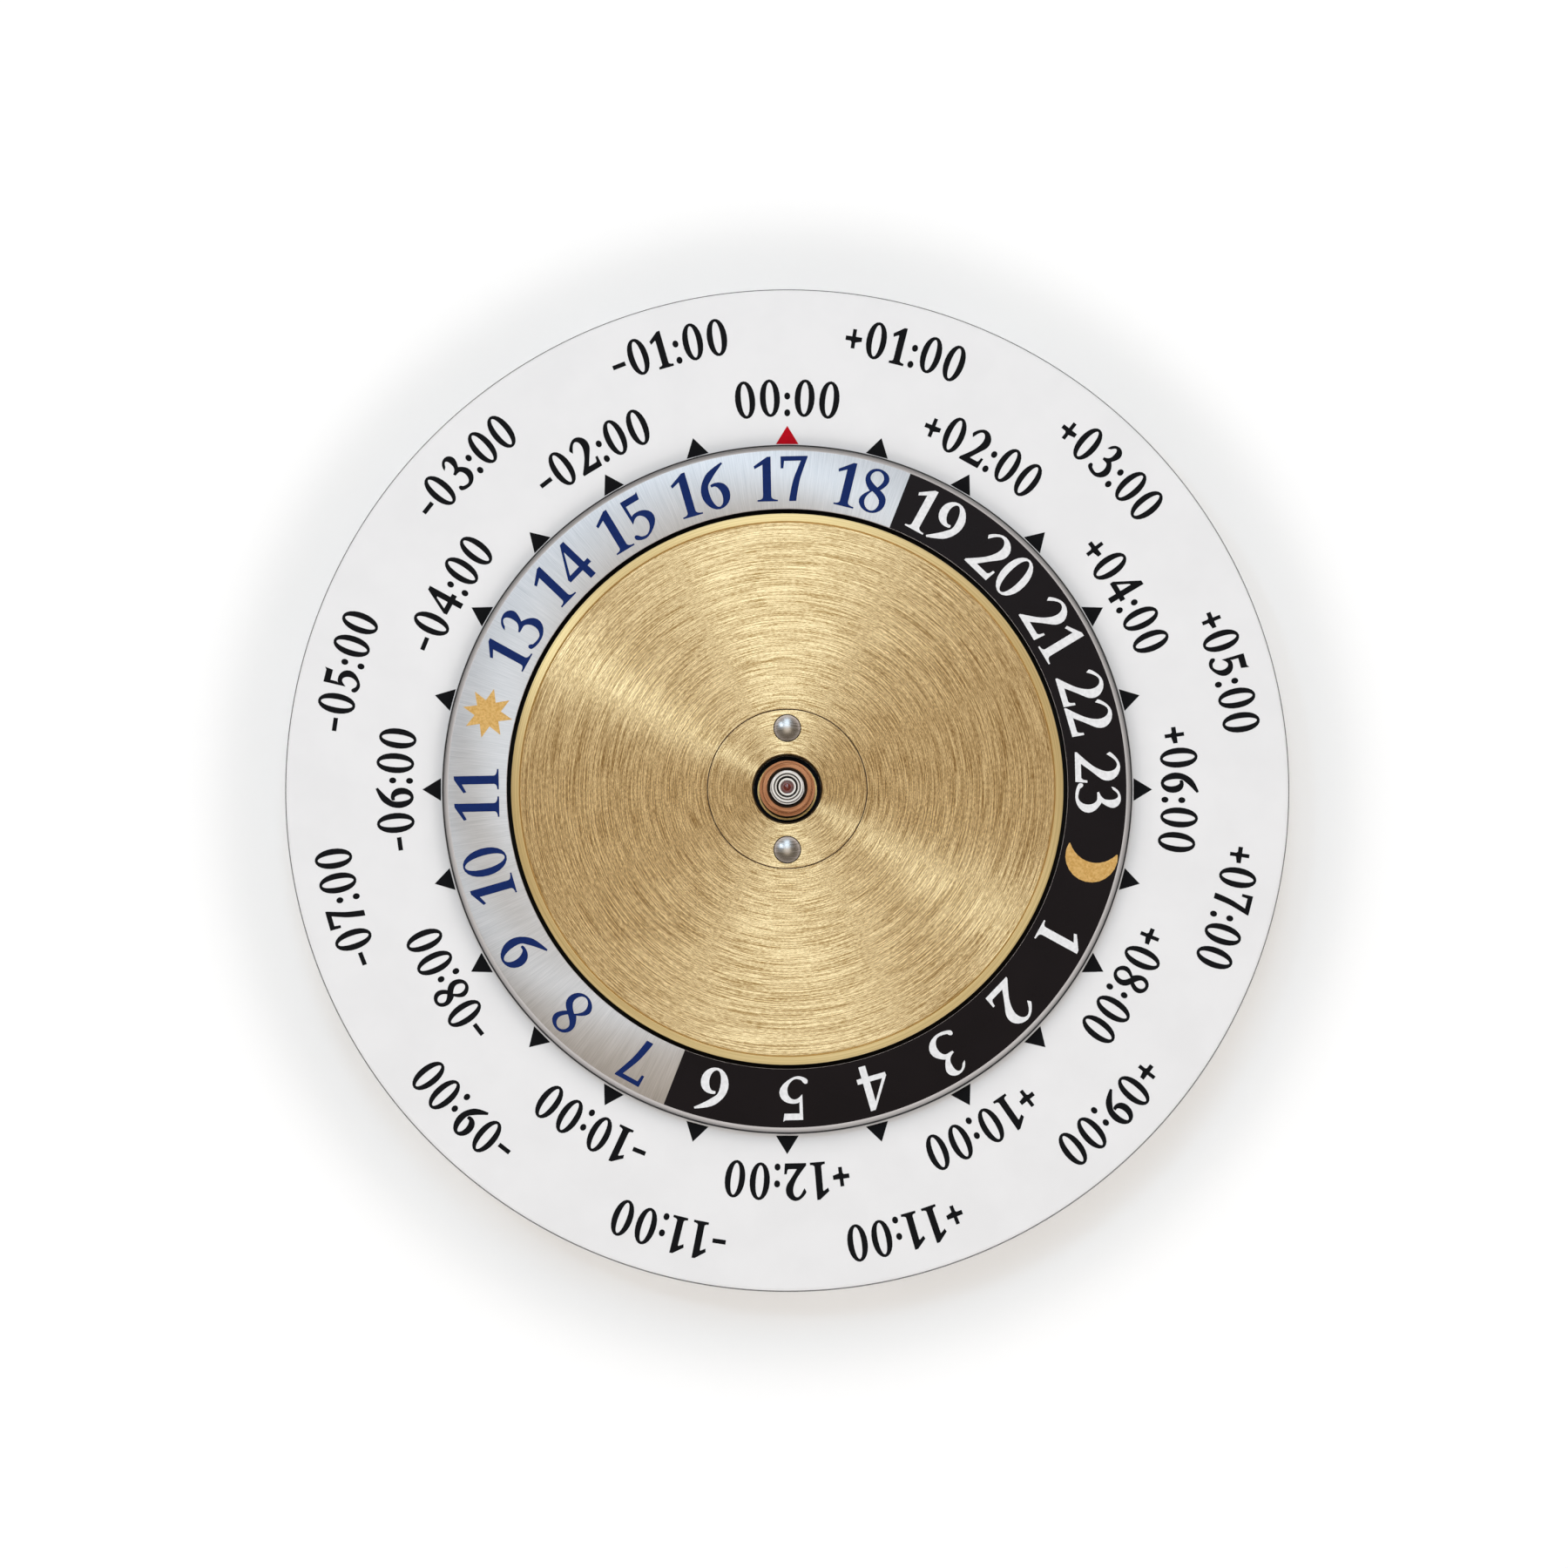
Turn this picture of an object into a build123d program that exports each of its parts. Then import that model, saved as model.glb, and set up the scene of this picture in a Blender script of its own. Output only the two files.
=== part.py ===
from build123d import *
from math import acos, asin, cos, degrees, pi, radians, sin, tan
import os

# A world time display: a disc of time zones that is set by hand, a 24 hour ring that turns once a day
# against the hands, and a brass centre plate, over the gear train that drives them.
# Lengths are in millimetres and angles in degrees from +X towards +Y. The origin is the middle of the
# base plate's rear face, +Z points to the dial side, and +Y points to the top of the dial.
# Radii are worked out from the centre outwards, and heights from the rear face upwards.

# Play between pieces that turn
axial_play = 0.05
radial_play = 0.05
pivot_play = 0.04
cut_overrun = 1.0

# Tooth form, as shares of the module or of the circular pitch
pressure_angle = 20.0
addendum_share = 0.80
dedendum_share = 1.00
wheel_tooth_share = 0.42
pinion_leaf_share = 0.40

# Teeth
cannon_leaves = 12
minute_wheel_teeth = 36
minute_pinion_leaves = 10
hour_wheel_teeth = 40
drive_wheel_teeth = 50
reverser_teeth = 25
day_wheel_teeth = drive_wheel_teeth + 2 * reverser_teeth
city_wheel_teeth = 120
setting_leaves = 10
city_places = 24

# Where things stand round the centre
reverser_angle = 0.0
minute_angle = 270.0
setting_angle = 180.0
pillar_angles = (60.0, 180.0, 300.0)
rear_hole_angles = (90.0, 210.0, 330.0)
hub_pin_angles = (90.0, 270.0)
day_foot_angles = (45.0, 135.0, 225.0, 315.0)
disc_foot_angles = (22.5, 82.5, 142.5, 202.5, 262.5, 322.5)

# Centre tube, its jewel and setting
tube_bore_radius = 0.32
tube_wall = 0.07
tube_edge = 0.02
jewel_radius = 0.18
jewel_height = 0.12
jewel_dome = 0.05
setting_lip_width = 0.035
setting_rim_width = 0.055
setting_lip_drop = 0.04
setting_edge_drop = 0.10
setting_height = 0.34
setting_below_tube = 0.05
tube_below_cannon = 0.04

# Cannon pinion and hour pipe
cannon_wall = 0.085
cannon_play = 0.03
cannon_edge = 0.03
cannon_shoulder_step = 0.015
cannon_seat_height = 0.46
cannon_stands_out = 0.50
pipe_play = 0.03
pipe_seat_wall = 0.23
pipe_shoulder_step = 0.08
pipe_seat_height = 0.45
pipe_mouth_width = 0.08
pipe_edge = 0.03
pipe_stands_out = 0.70

# Motion work
motion_level_height = 0.40
hour_wheel_thickness = 0.35
minute_pinion_shortening = 0.03
minute_arbor_radius = 0.25
minute_collar_wall = 0.08
minute_bush_wall = 0.26
minute_tip_height = 0.04
recess_play = 0.25

# Drive wheel and dial washer
collet_height = 0.15
collet_wall = 0.44
drive_hub_wall = 0.75
drive_rim_width = 0.50
drive_arm_width = 0.50
drive_arms = 5
washer_play = 0.06
washer_width = 0.65
washer_thickness = 0.03
washer_dish = 0.07

# Day train
train_thickness = 0.30
train_floor_play = 0.10
reverser_land = 1.30
stud_radius = 0.40
stud_foot_radius = 0.45
stud_foot_depth = 0.70
stud_shoulder_step = 0.25
stud_pivot_radius = 0.25
bush_wall = 0.31
bush_flange_step = 0.20
bush_flange_height = 0.07
reverser_holes = 5
reverser_hole_radius = 0.26
day_rim_step = 0.645
day_foot_radius = 0.20
day_foot_depth = 0.40
rail_step = 0.15

# Bridge over the train
pillar_radius = 0.60
pillar_foot_radius = 0.38
pillar_foot_depth = 0.60
bridge_play = 0.15
bridge_thickness = 0.20
bridge_rim_play = 0.17
bridge_rim_width = 0.60
bridge_arm_width = 1.90
bridge_hub_margin = 0.30
screw_head_radius = 0.45
screw_head_height = 0.11
screw_shank_radius = 0.25
screw_depth = 0.40
screw_slot_width = 0.12
screw_slot_depth = 0.06

# Hub and its pins
hub_hole_play = 0.175
hub_hole_edge = 0.05
hub_flange_height = 0.15
hub_flange_step = 0.74
hub_inner_land = 0.445
hub_outer_land = 0.18
hub_pin_radius = 0.40
hub_pin_shank_radius = 0.22
hub_pin_seat = 0.22
hub_pin_dome = 0.07

# Centre plate
plate_thickness = 0.35
plate_play = 0.125
plate_skirt_play = 0.15
plate_skirt_lift = 0.10
plate_rim_width = 0.24
plate_rim_slope = 0.07
plate_groove_width = 0.05
plate_groove_depth = 0.05

# 24 hour ring
ring_width = 2.005
ring_thickness = 0.35
ring_bevel_width = 0.19
ring_bevel_height = 0.16
ring_inner_edge = 0.03
ring_overhang = 0.45
ring_above_disc = 0.10

# City disc, its wheel and its channel
city_band_width = 4.85
city_disc_thickness = 0.35
city_disc_edge = 0.07
city_disc_play = 0.25
city_disc_lift = 0.10
disc_overhang = 0.30
base_wall = 0.45
base_edge = 0.12
land_width = 0.35
channel_depth = 0.40
notch_level_height = 0.45
gear_level_height = 0.45
city_wheel_rim_share = 0.31
disc_foot_radius = 0.20
disc_foot_depth = 0.60
recess_floor_thickness = 0.50

# City jumper
notch_depth = 0.40
notch_half_width = 0.36
notch_root_half_width = 0.06
jumper_thickness = 0.35
jumper_arm_width = 0.25
jumper_arm_place_share = 0.45
jumper_foot_margin = 0.30
jumper_beak_half_width = 0.28
jumper_beak_play = 0.08
jumper_beak_angle = 270.0
jumper_foot_start_angle = 310.0
jumper_foot_end_angle = 326.0
jumper_screw_angle = 321.0
jumper_pin_angle = 314.0
jumper_pin_radius = 0.20
jumper_pin_stands_out = 0.08
jumper_hold_depth = 0.60

# Setting pinion
setting_arbor_radius = 0.30
setting_bush_wall = 0.30
setting_shoulder_step = 0.25
setting_washer_height = 0.06
setting_washer_margin = 0.15
setting_pinion_height = 0.30
driver_slot_width = 0.10
driver_slot_depth = 0.15

# Rear screw holes
rear_hole_radius = 0.60
rear_hole_roof = 0.35

# Radii from the centre tube out to the motion work
tube_radius = tube_bore_radius + tube_wall
cannon_bore_radius = tube_radius + cannon_play
cannon_seat_radius = cannon_bore_radius + cannon_wall
cannon_radius = cannon_seat_radius + cannon_shoulder_step
pipe_bore_radius = cannon_radius + pipe_play
pipe_seat_radius = pipe_bore_radius + pipe_seat_wall
pipe_radius = pipe_seat_radius + pipe_shoulder_step
motion_module = cannon_radius / (cannon_leaves / 2 - dedendum_share)
minute_distance = motion_module * (cannon_leaves + minute_wheel_teeth) / 2
hour_module = 2 * minute_distance / (minute_pinion_leaves + hour_wheel_teeth)
minute_wheel_tip = motion_module * (minute_wheel_teeth / 2 + addendum_share)
recess_radius = minute_distance + minute_wheel_tip + recess_play

# Radii of the day train, the bridge and the hub
reverser_distance = recess_radius + reverser_land
day_module = 2 * reverser_distance / (drive_wheel_teeth + reverser_teeth)
day_pitch_radius = day_module * day_wheel_teeth / 2
day_tip_radius = day_pitch_radius - addendum_share * day_module
hub_hole_radius = pipe_radius + hub_hole_play
hub_pin_distance = hub_hole_radius + hub_inner_land + hub_pin_radius
hub_radius = hub_pin_distance + hub_pin_radius + hub_outer_land
hub_flange_radius = hub_radius + hub_flange_step
bridge_radius = day_tip_radius - bridge_rim_play
ring_inner_radius = day_pitch_radius + day_rim_step
ring_outer_radius = ring_inner_radius + ring_width
plate_radius = ring_inner_radius - plate_play
day_wheel_radius = ring_outer_radius - ring_overhang
day_foot_distance = (ring_inner_radius + day_wheel_radius) / 2

# Radii of the city disc, its channel and its wheel
land_inner_radius = day_wheel_radius + radial_play
land_outer_radius = land_inner_radius + land_width
rail_inner_radius = ring_inner_radius - rail_step
rear_hole_distance = (rail_inner_radius + land_inner_radius) / 2
city_disc_radius = ring_outer_radius + city_band_width
city_disc_inner_radius = day_wheel_radius + city_disc_play
base_radius = city_disc_radius - disc_overhang
channel_radius = base_radius - base_wall
city_wheel_rim = city_wheel_rim_share * city_band_width
city_wheel_radius = channel_radius - radial_play
city_pitch_radius = city_wheel_radius - city_wheel_rim
city_module = 2 * city_pitch_radius / city_wheel_teeth
city_tip_radius = city_pitch_radius - addendum_share * city_module
city_root_radius = city_pitch_radius + dedendum_share * city_module
disc_foot_distance = (city_root_radius + city_wheel_radius) / 2
setting_pitch_radius = city_module * setting_leaves / 2
setting_distance = city_pitch_radius - setting_pitch_radius
setting_bore_radius = setting_arbor_radius + pivot_play
setting_bush_radius = setting_bore_radius + setting_bush_wall

# Heights of the motion work and the day train
recess_floor = recess_floor_thickness
motion_bottom = recess_floor + axial_play
motion_top = motion_bottom + motion_level_height
hour_wheel_bottom = motion_top + axial_play
hour_wheel_top = hour_wheel_bottom + hour_wheel_thickness
train_bottom = hour_wheel_top + collet_height
train_top = train_bottom + train_thickness
train_floor = train_bottom - train_floor_play
rail_top = train_bottom - axial_play
bridge_bottom = train_top + bridge_play
bridge_top = bridge_bottom + bridge_thickness
flange_top = bridge_top + hub_flange_height
plate_top = flange_top + plate_thickness
skirt_bottom = train_top + plate_skirt_lift

# Heights of the city disc and the 24 hour ring
channel_floor = train_floor - channel_depth
city_wheel_bottom = channel_floor + axial_play
gear_level = city_wheel_bottom + notch_level_height
city_disc_bottom = gear_level + gear_level_height
city_disc_top = city_disc_bottom + city_disc_thickness
wall_top = city_disc_bottom - city_disc_lift
ring_bottom = city_disc_top + ring_above_disc
ring_top = ring_bottom + ring_thickness

# Heights of the pipes in the middle
pipe_top = plate_top + pipe_stands_out
pipe_shoulder_top = pipe_top - pipe_seat_height
cannon_top = pipe_top + cannon_stands_out
tube_top = cannon_top - tube_below_cannon


def polar(radius, angle):
    """The point at a radius and an angle round the centre."""
    return radius * cos(radians(angle)), radius * sin(radians(angle))


# Places on the plate, and sizes that two pieces share
minute_place = polar(minute_distance, minute_angle)
reverser_place = polar(reverser_distance, reverser_angle)
setting_place = polar(setting_distance, setting_angle)
pillar_places = [polar(reverser_distance, angle) for angle in pillar_angles]
minute_bore_radius = minute_arbor_radius + pivot_play
minute_bush_radius = minute_bore_radius + minute_bush_wall
minute_collar_radius = minute_arbor_radius + minute_collar_wall
drive_root_radius = day_module * (drive_wheel_teeth / 2 - dedendum_share)
reverser_bore_radius = stud_radius + pivot_play + bush_wall
setting_washer_top = channel_floor + setting_washer_height
setting_top = tube_top - setting_below_tube
setting_bottom = setting_top - setting_height
channel_width = city_tip_radius - land_outer_radius
jumper_foot_inner = land_outer_radius + jumper_foot_margin
jumper_foot_outer = city_tip_radius - jumper_foot_margin
jumper_arm_radius = land_outer_radius + jumper_arm_place_share * channel_width
jumper_screw_place = polar((jumper_foot_inner + jumper_foot_outer) / 2, jumper_screw_angle)
jumper_pin_place = polar((jumper_foot_inner + jumper_foot_outer) / 2, jumper_pin_angle)


def turned(profile):
    """A solid turned about the centre line, from the (radius, height) points of its profile."""
    outline = Polyline(*[(radius, 0, height) for radius, height in profile], close=True)
    return revolve(make_face(outline), Axis.Z)


def tube(outer_radius, inner_radius, bottom, top):
    """A plain ring about the centre line."""
    return turned([
        (inner_radius, bottom),
        (outer_radius, bottom),
        (outer_radius, top),
        (inner_radius, top),
    ])


def rod(radius, bottom, top, place=(0, 0)):
    """An upright cylinder that stands on a height at a place."""
    centred = (Align.CENTER, Align.CENTER, Align.MIN)
    return Pos(place[0], place[1], bottom) * Cylinder(radius, top - bottom, align=centred)


def domed_rod(radius, bottom, shoulder, top):
    """An upright cylinder on the centre line that ends in a dome above its shoulder."""
    rise = top - shoulder
    dome_radius = (radius ** 2 + rise ** 2) / (2 * rise)
    return rod(radius, bottom, top) & Pos(0, 0, top - dome_radius) * Sphere(dome_radius)


def slot(width, length, bottom, top, place=(0, 0)):
    """An upright block that cuts a slot for a driver's blade."""
    centred = (Align.CENTER, Align.CENTER, Align.MIN)
    return Pos(place[0], place[1], bottom) * Box(length, width, top - bottom, align=centred)


def raised(face, bottom, top):
    """A flat outline made a solid between two heights."""
    return Pos(0, 0, bottom) * extrude(face, top - bottom)


def sector(inner_radius, outer_radius, start, end, half_gap=0):
    """A flat piece of a ring between two angles, drawn in by half_gap from both of its straight sides."""
    def corner(radius, angle, side):
        return polar(radius, angle + side * degrees(asin(half_gap / radius)))

    middle = (start + end) / 2
    return make_face([
        Line(corner(inner_radius, start, 1), corner(outer_radius, start, 1)),
        ThreePointArc(corner(outer_radius, start, 1), polar(outer_radius, middle),
                      corner(outer_radius, end, -1)),
        Line(corner(outer_radius, end, -1), corner(inner_radius, end, -1)),
        ThreePointArc(corner(inner_radius, end, -1), polar(inner_radius, middle),
                      corner(inner_radius, start, 1)),
    ])


def at(place, solid):
    """A solid moved from the centre line to a place on the plate."""
    return Pos(place[0], place[1], 0) * solid


def half_tooth_angle(radius, pitch_radius, teeth, tooth_share):
    """Half of the angle that an involute tooth spans at a radius."""
    base_radius = pitch_radius * cos(radians(pressure_angle))
    at_pitch = radians(pressure_angle)
    at_radius = acos(min(1, base_radius / radius))
    growth = (tan(at_pitch) - at_pitch) - (tan(at_radius) - at_radius)
    return degrees(tooth_share * pi / teeth + growth)


def toothed_face(teeth, module, below_share, above_share, tooth_share, tooth_angle):
    """A flat toothed outline with one tooth centred on tooth_angle. Each flank is one arc."""
    pitch_radius = module * teeth / 2
    radii = (pitch_radius - below_share * module, pitch_radius, pitch_radius + above_share * module)
    halves = [half_tooth_angle(radius, pitch_radius, teeth, tooth_share) for radius in radii]
    edges = []
    for tooth in range(teeth):
        middle = tooth_angle + 360 * tooth / teeth
        rising = [polar(radius, middle - half) for radius, half in zip(radii, halves)]
        falling = [polar(radius, middle + half) for radius, half in zip(radii, halves)]
        next_root = polar(radii[0], middle + 360 / teeth - halves[0])
        edges.append(ThreePointArc(*rising))
        edges.append(Line(rising[2], falling[2]))
        edges.append(ThreePointArc(falling[2], falling[1], falling[0]))
        edges.append(Line(falling[0], next_root))
    return make_face(edges)


def wheel_face(teeth, module, tooth_share, tooth_angle):
    """The outline of a wheel or pinion with teeth on its outside."""
    return toothed_face(teeth, module, dedendum_share, addendum_share, tooth_share, tooth_angle)


def inner_teeth_face(outer_radius, teeth, module, space_angle):
    """The outline of a ring with teeth on its inside, with one space centred on space_angle."""
    space_share = 1 - wheel_tooth_share
    hole = toothed_face(teeth, module, addendum_share, dedendum_share, space_share, space_angle)
    return Circle(outer_radius) - hole


def base_plate():
    """The plate that carries everything: a channel for the city wheel, a rail for the day wheel and a
    recess for the motion work, bored for the studs, bushes and screws."""
    plate = turned([
        (0, 0),
        (base_radius - base_edge, 0),
        (base_radius, base_edge),
        (base_radius, wall_top - base_edge),
        (base_radius - base_edge, wall_top),
        (channel_radius, wall_top),
        (channel_radius, channel_floor),
        (land_outer_radius, channel_floor),
        (land_outer_radius, wall_top),
        (land_inner_radius, wall_top),
        (land_inner_radius, rail_top),
        (rail_inner_radius, rail_top),
        (rail_inner_radius, train_floor),
        (recess_radius, train_floor),
        (recess_radius, recess_floor),
        (0, recess_floor),
    ])
    plate -= rod(tube_radius, -cut_overrun, recess_floor + cut_overrun)
    plate -= rod(minute_bush_radius, -cut_overrun, recess_floor + cut_overrun, minute_place)
    plate -= rod(setting_bush_radius, -cut_overrun, channel_floor + cut_overrun, setting_place)
    above_train_floor = train_floor + cut_overrun
    plate -= rod(stud_foot_radius, train_floor - stud_foot_depth, above_train_floor, reverser_place)
    for place in pillar_places:
        plate -= rod(pillar_foot_radius, train_floor - pillar_foot_depth, above_train_floor, place)
    for angle in rear_hole_angles:
        plate -= rod(rear_hole_radius, -cut_overrun, rail_top - rear_hole_roof,
                     polar(rear_hole_distance, angle))
    jumper_hold = channel_floor - jumper_hold_depth
    plate -= rod(screw_shank_radius, jumper_hold, channel_floor + cut_overrun, jumper_screw_place)
    plate -= rod(jumper_pin_radius, jumper_hold, channel_floor + cut_overrun, jumper_pin_place)
    return plate


def centre_tube():
    """The fixed tube that the cannon pinion turns on."""
    return turned([
        (tube_bore_radius, 0),
        (tube_radius, 0),
        (tube_radius, tube_top - tube_edge),
        (tube_radius - tube_edge, tube_top),
        (tube_bore_radius + tube_edge, tube_top),
        (tube_bore_radius, tube_top - tube_edge),
    ])


def jewel_setting():
    """The small steel setting pressed into the mouth of the tube, with a raised rim round the jewel."""
    rim_inner = jewel_radius + setting_lip_width
    rim_outer = rim_inner + setting_rim_width
    return turned([
        (jewel_radius, setting_bottom),
        (tube_bore_radius, setting_bottom),
        (tube_bore_radius, setting_top - setting_edge_drop),
        (rim_outer, setting_top),
        (rim_inner, setting_top),
        (jewel_radius, setting_top - setting_lip_drop),
    ])


def centre_jewel():
    """The ruby in the setting, with a domed top."""
    top = setting_top - setting_lip_drop
    return domed_rod(jewel_radius, top - jewel_height, top - jewel_dome, top)


def cannon_pinion():
    """The steel pipe for the minute hand, with the leaves that drive the minute wheel at its foot."""
    leaves = wheel_face(cannon_leaves, motion_module, pinion_leaf_share, minute_angle)
    pipe = turned([
        (cannon_bore_radius, motion_bottom),
        (cannon_radius, motion_bottom),
        (cannon_radius, cannon_top - cannon_seat_height),
        (cannon_seat_radius, cannon_top - cannon_seat_height),
        (cannon_seat_radius, cannon_top - cannon_edge),
        (cannon_seat_radius - cannon_edge, cannon_top),
        (cannon_bore_radius, cannon_top),
    ])
    return raised(leaves - Circle(cannon_bore_radius), motion_bottom, motion_top) + pipe


def minute_wheel():
    """The wheel that the cannon pinion drives, on the collar of the minute pinion."""
    tooth_angle = minute_angle + 180 + 180 / minute_wheel_teeth
    teeth = wheel_face(minute_wheel_teeth, motion_module, wheel_tooth_share, tooth_angle)
    return at(minute_place, raised(teeth - Circle(minute_collar_radius), motion_bottom, motion_top))


def minute_pinion():
    """The pinion that drives the hour wheel, one piece with its collar and its arbor, which ends in a
    slot at the rear face, where the movement drives it."""
    tooth_angle = minute_angle + 180 + 180 / minute_pinion_leaves
    leaves = wheel_face(minute_pinion_leaves, hour_module, pinion_leaf_share, tooth_angle)
    leaves_top = hour_wheel_top + minute_pinion_shortening
    pinion = raised(leaves, motion_top, leaves_top)
    pinion += rod(minute_arbor_radius, leaves_top, leaves_top + minute_tip_height)
    pinion += rod(minute_collar_radius, motion_bottom, motion_top)
    pinion += rod(minute_arbor_radius, 0, motion_bottom)
    pinion -= slot(driver_slot_width, 2 * minute_collar_radius, -cut_overrun, driver_slot_depth)
    return at(minute_place, pinion)


def minute_bush():
    """The bush in the base plate that the minute arbor turns in."""
    return at(minute_place, tube(minute_bush_radius, minute_bore_radius, 0, recess_floor))


def hour_wheel():
    """The hour wheel with its copper alloy pipe: a journal, a shoulder and the seat of the hour hand."""
    teeth = wheel_face(hour_wheel_teeth, hour_module, wheel_tooth_share, minute_angle)
    pipe = turned([
        (pipe_bore_radius, hour_wheel_bottom),
        (pipe_radius, hour_wheel_bottom),
        (pipe_radius, pipe_shoulder_top),
        (pipe_seat_radius, pipe_shoulder_top),
        (pipe_seat_radius, pipe_top - pipe_edge),
        (pipe_seat_radius - pipe_edge, pipe_top),
        (pipe_bore_radius + pipe_mouth_width, pipe_top),
        (pipe_bore_radius, pipe_top - pipe_mouth_width),
    ])
    return raised(teeth - Circle(pipe_bore_radius), hour_wheel_bottom, hour_wheel_top) + pipe


def drive_collet():
    """The collet between the hour wheel and the drive wheel."""
    return tube(pipe_radius + collet_wall, pipe_radius, hour_wheel_top, train_bottom)


def drive_wheel():
    """The crossed-out wheel on the hour pipe that drives the day train."""
    face = wheel_face(drive_wheel_teeth, day_module, wheel_tooth_share, reverser_angle)
    face -= Circle(pipe_radius)
    window_inner = pipe_radius + drive_hub_wall
    window_outer = drive_root_radius - drive_rim_width
    for arm in range(drive_arms):
        start = 360 * arm / drive_arms
        face -= sector(window_inner, window_outer, start, start + 360 / drive_arms, drive_arm_width / 2)
    return raised(face, train_bottom, train_top)


def dial_washer():
    """The thin dished washer that keeps the hour wheel down."""
    inner = pipe_radius + washer_play
    outer = inner + washer_width
    return turned([
        (inner, train_top),
        (outer, train_top + washer_dish),
        (outer, train_top + washer_dish + washer_thickness),
        (inner, train_top + washer_thickness),
    ])


def reverser_stud():
    """The stud that carries the reverser wheel, pressed into the base plate and steadied by the bridge."""
    shoulder_radius = stud_radius + stud_shoulder_step
    return at(reverser_place, turned([
        (0, train_floor - stud_foot_depth),
        (stud_foot_radius, train_floor - stud_foot_depth),
        (stud_foot_radius, train_floor),
        (shoulder_radius, train_floor),
        (shoulder_radius, rail_top),
        (stud_radius, rail_top),
        (stud_radius, bridge_bottom),
        (stud_pivot_radius, bridge_bottom),
        (stud_pivot_radius, bridge_top),
        (0, bridge_top),
    ]))


def reverser_bush():
    """The flanged bush in the middle of the reverser wheel."""
    flange_radius = reverser_bore_radius + bush_flange_step
    return at(reverser_place, turned([
        (stud_radius + pivot_play, train_bottom),
        (reverser_bore_radius, train_bottom),
        (reverser_bore_radius, train_top),
        (flange_radius, train_top),
        (flange_radius, train_top + bush_flange_height),
        (stud_radius + pivot_play, train_top + bush_flange_height),
    ]))


def reverser_wheel():
    """The idler between the drive wheel and the day wheel, drilled with a ring of holes."""
    tooth_angle = reverser_angle + 180 + 180 / reverser_teeth
    face = wheel_face(reverser_teeth, day_module, wheel_tooth_share, tooth_angle)
    face -= Circle(reverser_bore_radius)
    root_radius = day_module * (reverser_teeth / 2 - dedendum_share)
    holes_radius = (reverser_bore_radius + bush_flange_step + root_radius) / 2
    for hole in range(reverser_holes):
        face -= Pos(*polar(holes_radius, 360 * hole / reverser_holes)) * Circle(reverser_hole_radius)
    return at(reverser_place, raised(face, train_bottom, train_top))


def day_wheel():
    """The wheel under the 24 hour ring, toothed inside, with a rim that carries the ring."""
    teeth = inner_teeth_face(day_wheel_radius, day_wheel_teeth, day_module, reverser_angle)
    wheel = raised(teeth, train_bottom, train_top)
    wheel += tube(day_wheel_radius, ring_inner_radius, train_top, ring_bottom)
    for angle in day_foot_angles:
        wheel -= rod(day_foot_radius, ring_bottom - day_foot_depth, ring_bottom + cut_overrun,
                     polar(day_foot_distance, angle))
    return wheel


def day_ring_feet():
    """The four feet of the 24 hour ring, pressed into the rim of the day wheel."""
    foot_bottom = ring_bottom - day_foot_depth
    return [rod(day_foot_radius, foot_bottom, ring_bottom, polar(day_foot_distance, angle))
            for angle in day_foot_angles]


def day_night_ring():
    """The 24 hour ring: a flat face with a polished bevel round its outside."""
    return turned([
        (ring_inner_radius, ring_bottom),
        (ring_outer_radius, ring_bottom),
        (ring_outer_radius, ring_top - ring_bevel_height),
        (ring_outer_radius - ring_bevel_width, ring_top),
        (ring_inner_radius + ring_inner_edge, ring_top),
        (ring_inner_radius, ring_top - ring_inner_edge),
    ])


def bridge_pillars():
    """The three pillars that carry the bridge, pressed into the base plate and tapped for its screws."""
    pillar = turned([
        (0, train_floor - pillar_foot_depth),
        (pillar_foot_radius, train_floor - pillar_foot_depth),
        (pillar_foot_radius, train_floor),
        (pillar_radius, train_floor),
        (pillar_radius, bridge_bottom),
        (screw_shank_radius, bridge_bottom),
        (screw_shank_radius, bridge_bottom - screw_depth),
        (0, bridge_bottom - screw_depth),
    ])
    return [at(place, pillar) for place in pillar_places]


def centre_bridge():
    """The flat bridge over the train, cut out between the arms that reach the pillars and the stud."""
    face = Circle(bridge_radius) - Circle(hub_hole_radius)
    arm_angles = sorted({angle % 360 for angle in (reverser_angle, *pillar_angles)})
    window_inner = hub_flange_radius + bridge_hub_margin
    window_outer = bridge_radius - bridge_rim_width
    for start, end in zip(arm_angles, arm_angles[1:] + [arm_angles[0] + 360]):
        face -= sector(window_inner, window_outer, start, end, bridge_arm_width / 2)
    for place in pillar_places:
        face -= Pos(*place) * Circle(screw_shank_radius)
    for angle in hub_pin_angles:
        face -= Pos(*polar(hub_pin_distance, angle)) * Circle(hub_pin_shank_radius)
    face -= Pos(*reverser_place) * Circle(stud_pivot_radius)
    return raised(face, bridge_bottom, bridge_top)


def screw(seat, tip):
    """A small slotted cheese-head screw whose head stands on seat and whose shank ends at tip."""
    head_top = seat + screw_head_height
    body = rod(screw_head_radius, seat, head_top) + rod(screw_shank_radius, tip, seat)
    return body - slot(screw_slot_width, 2 * screw_head_radius + cut_overrun, head_top - screw_slot_depth,
                       head_top + cut_overrun)


def bridge_screws():
    """The three screws that hold the bridge on its pillars."""
    return [at(place, screw(bridge_top, bridge_bottom - screw_depth)) for place in pillar_places]


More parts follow.
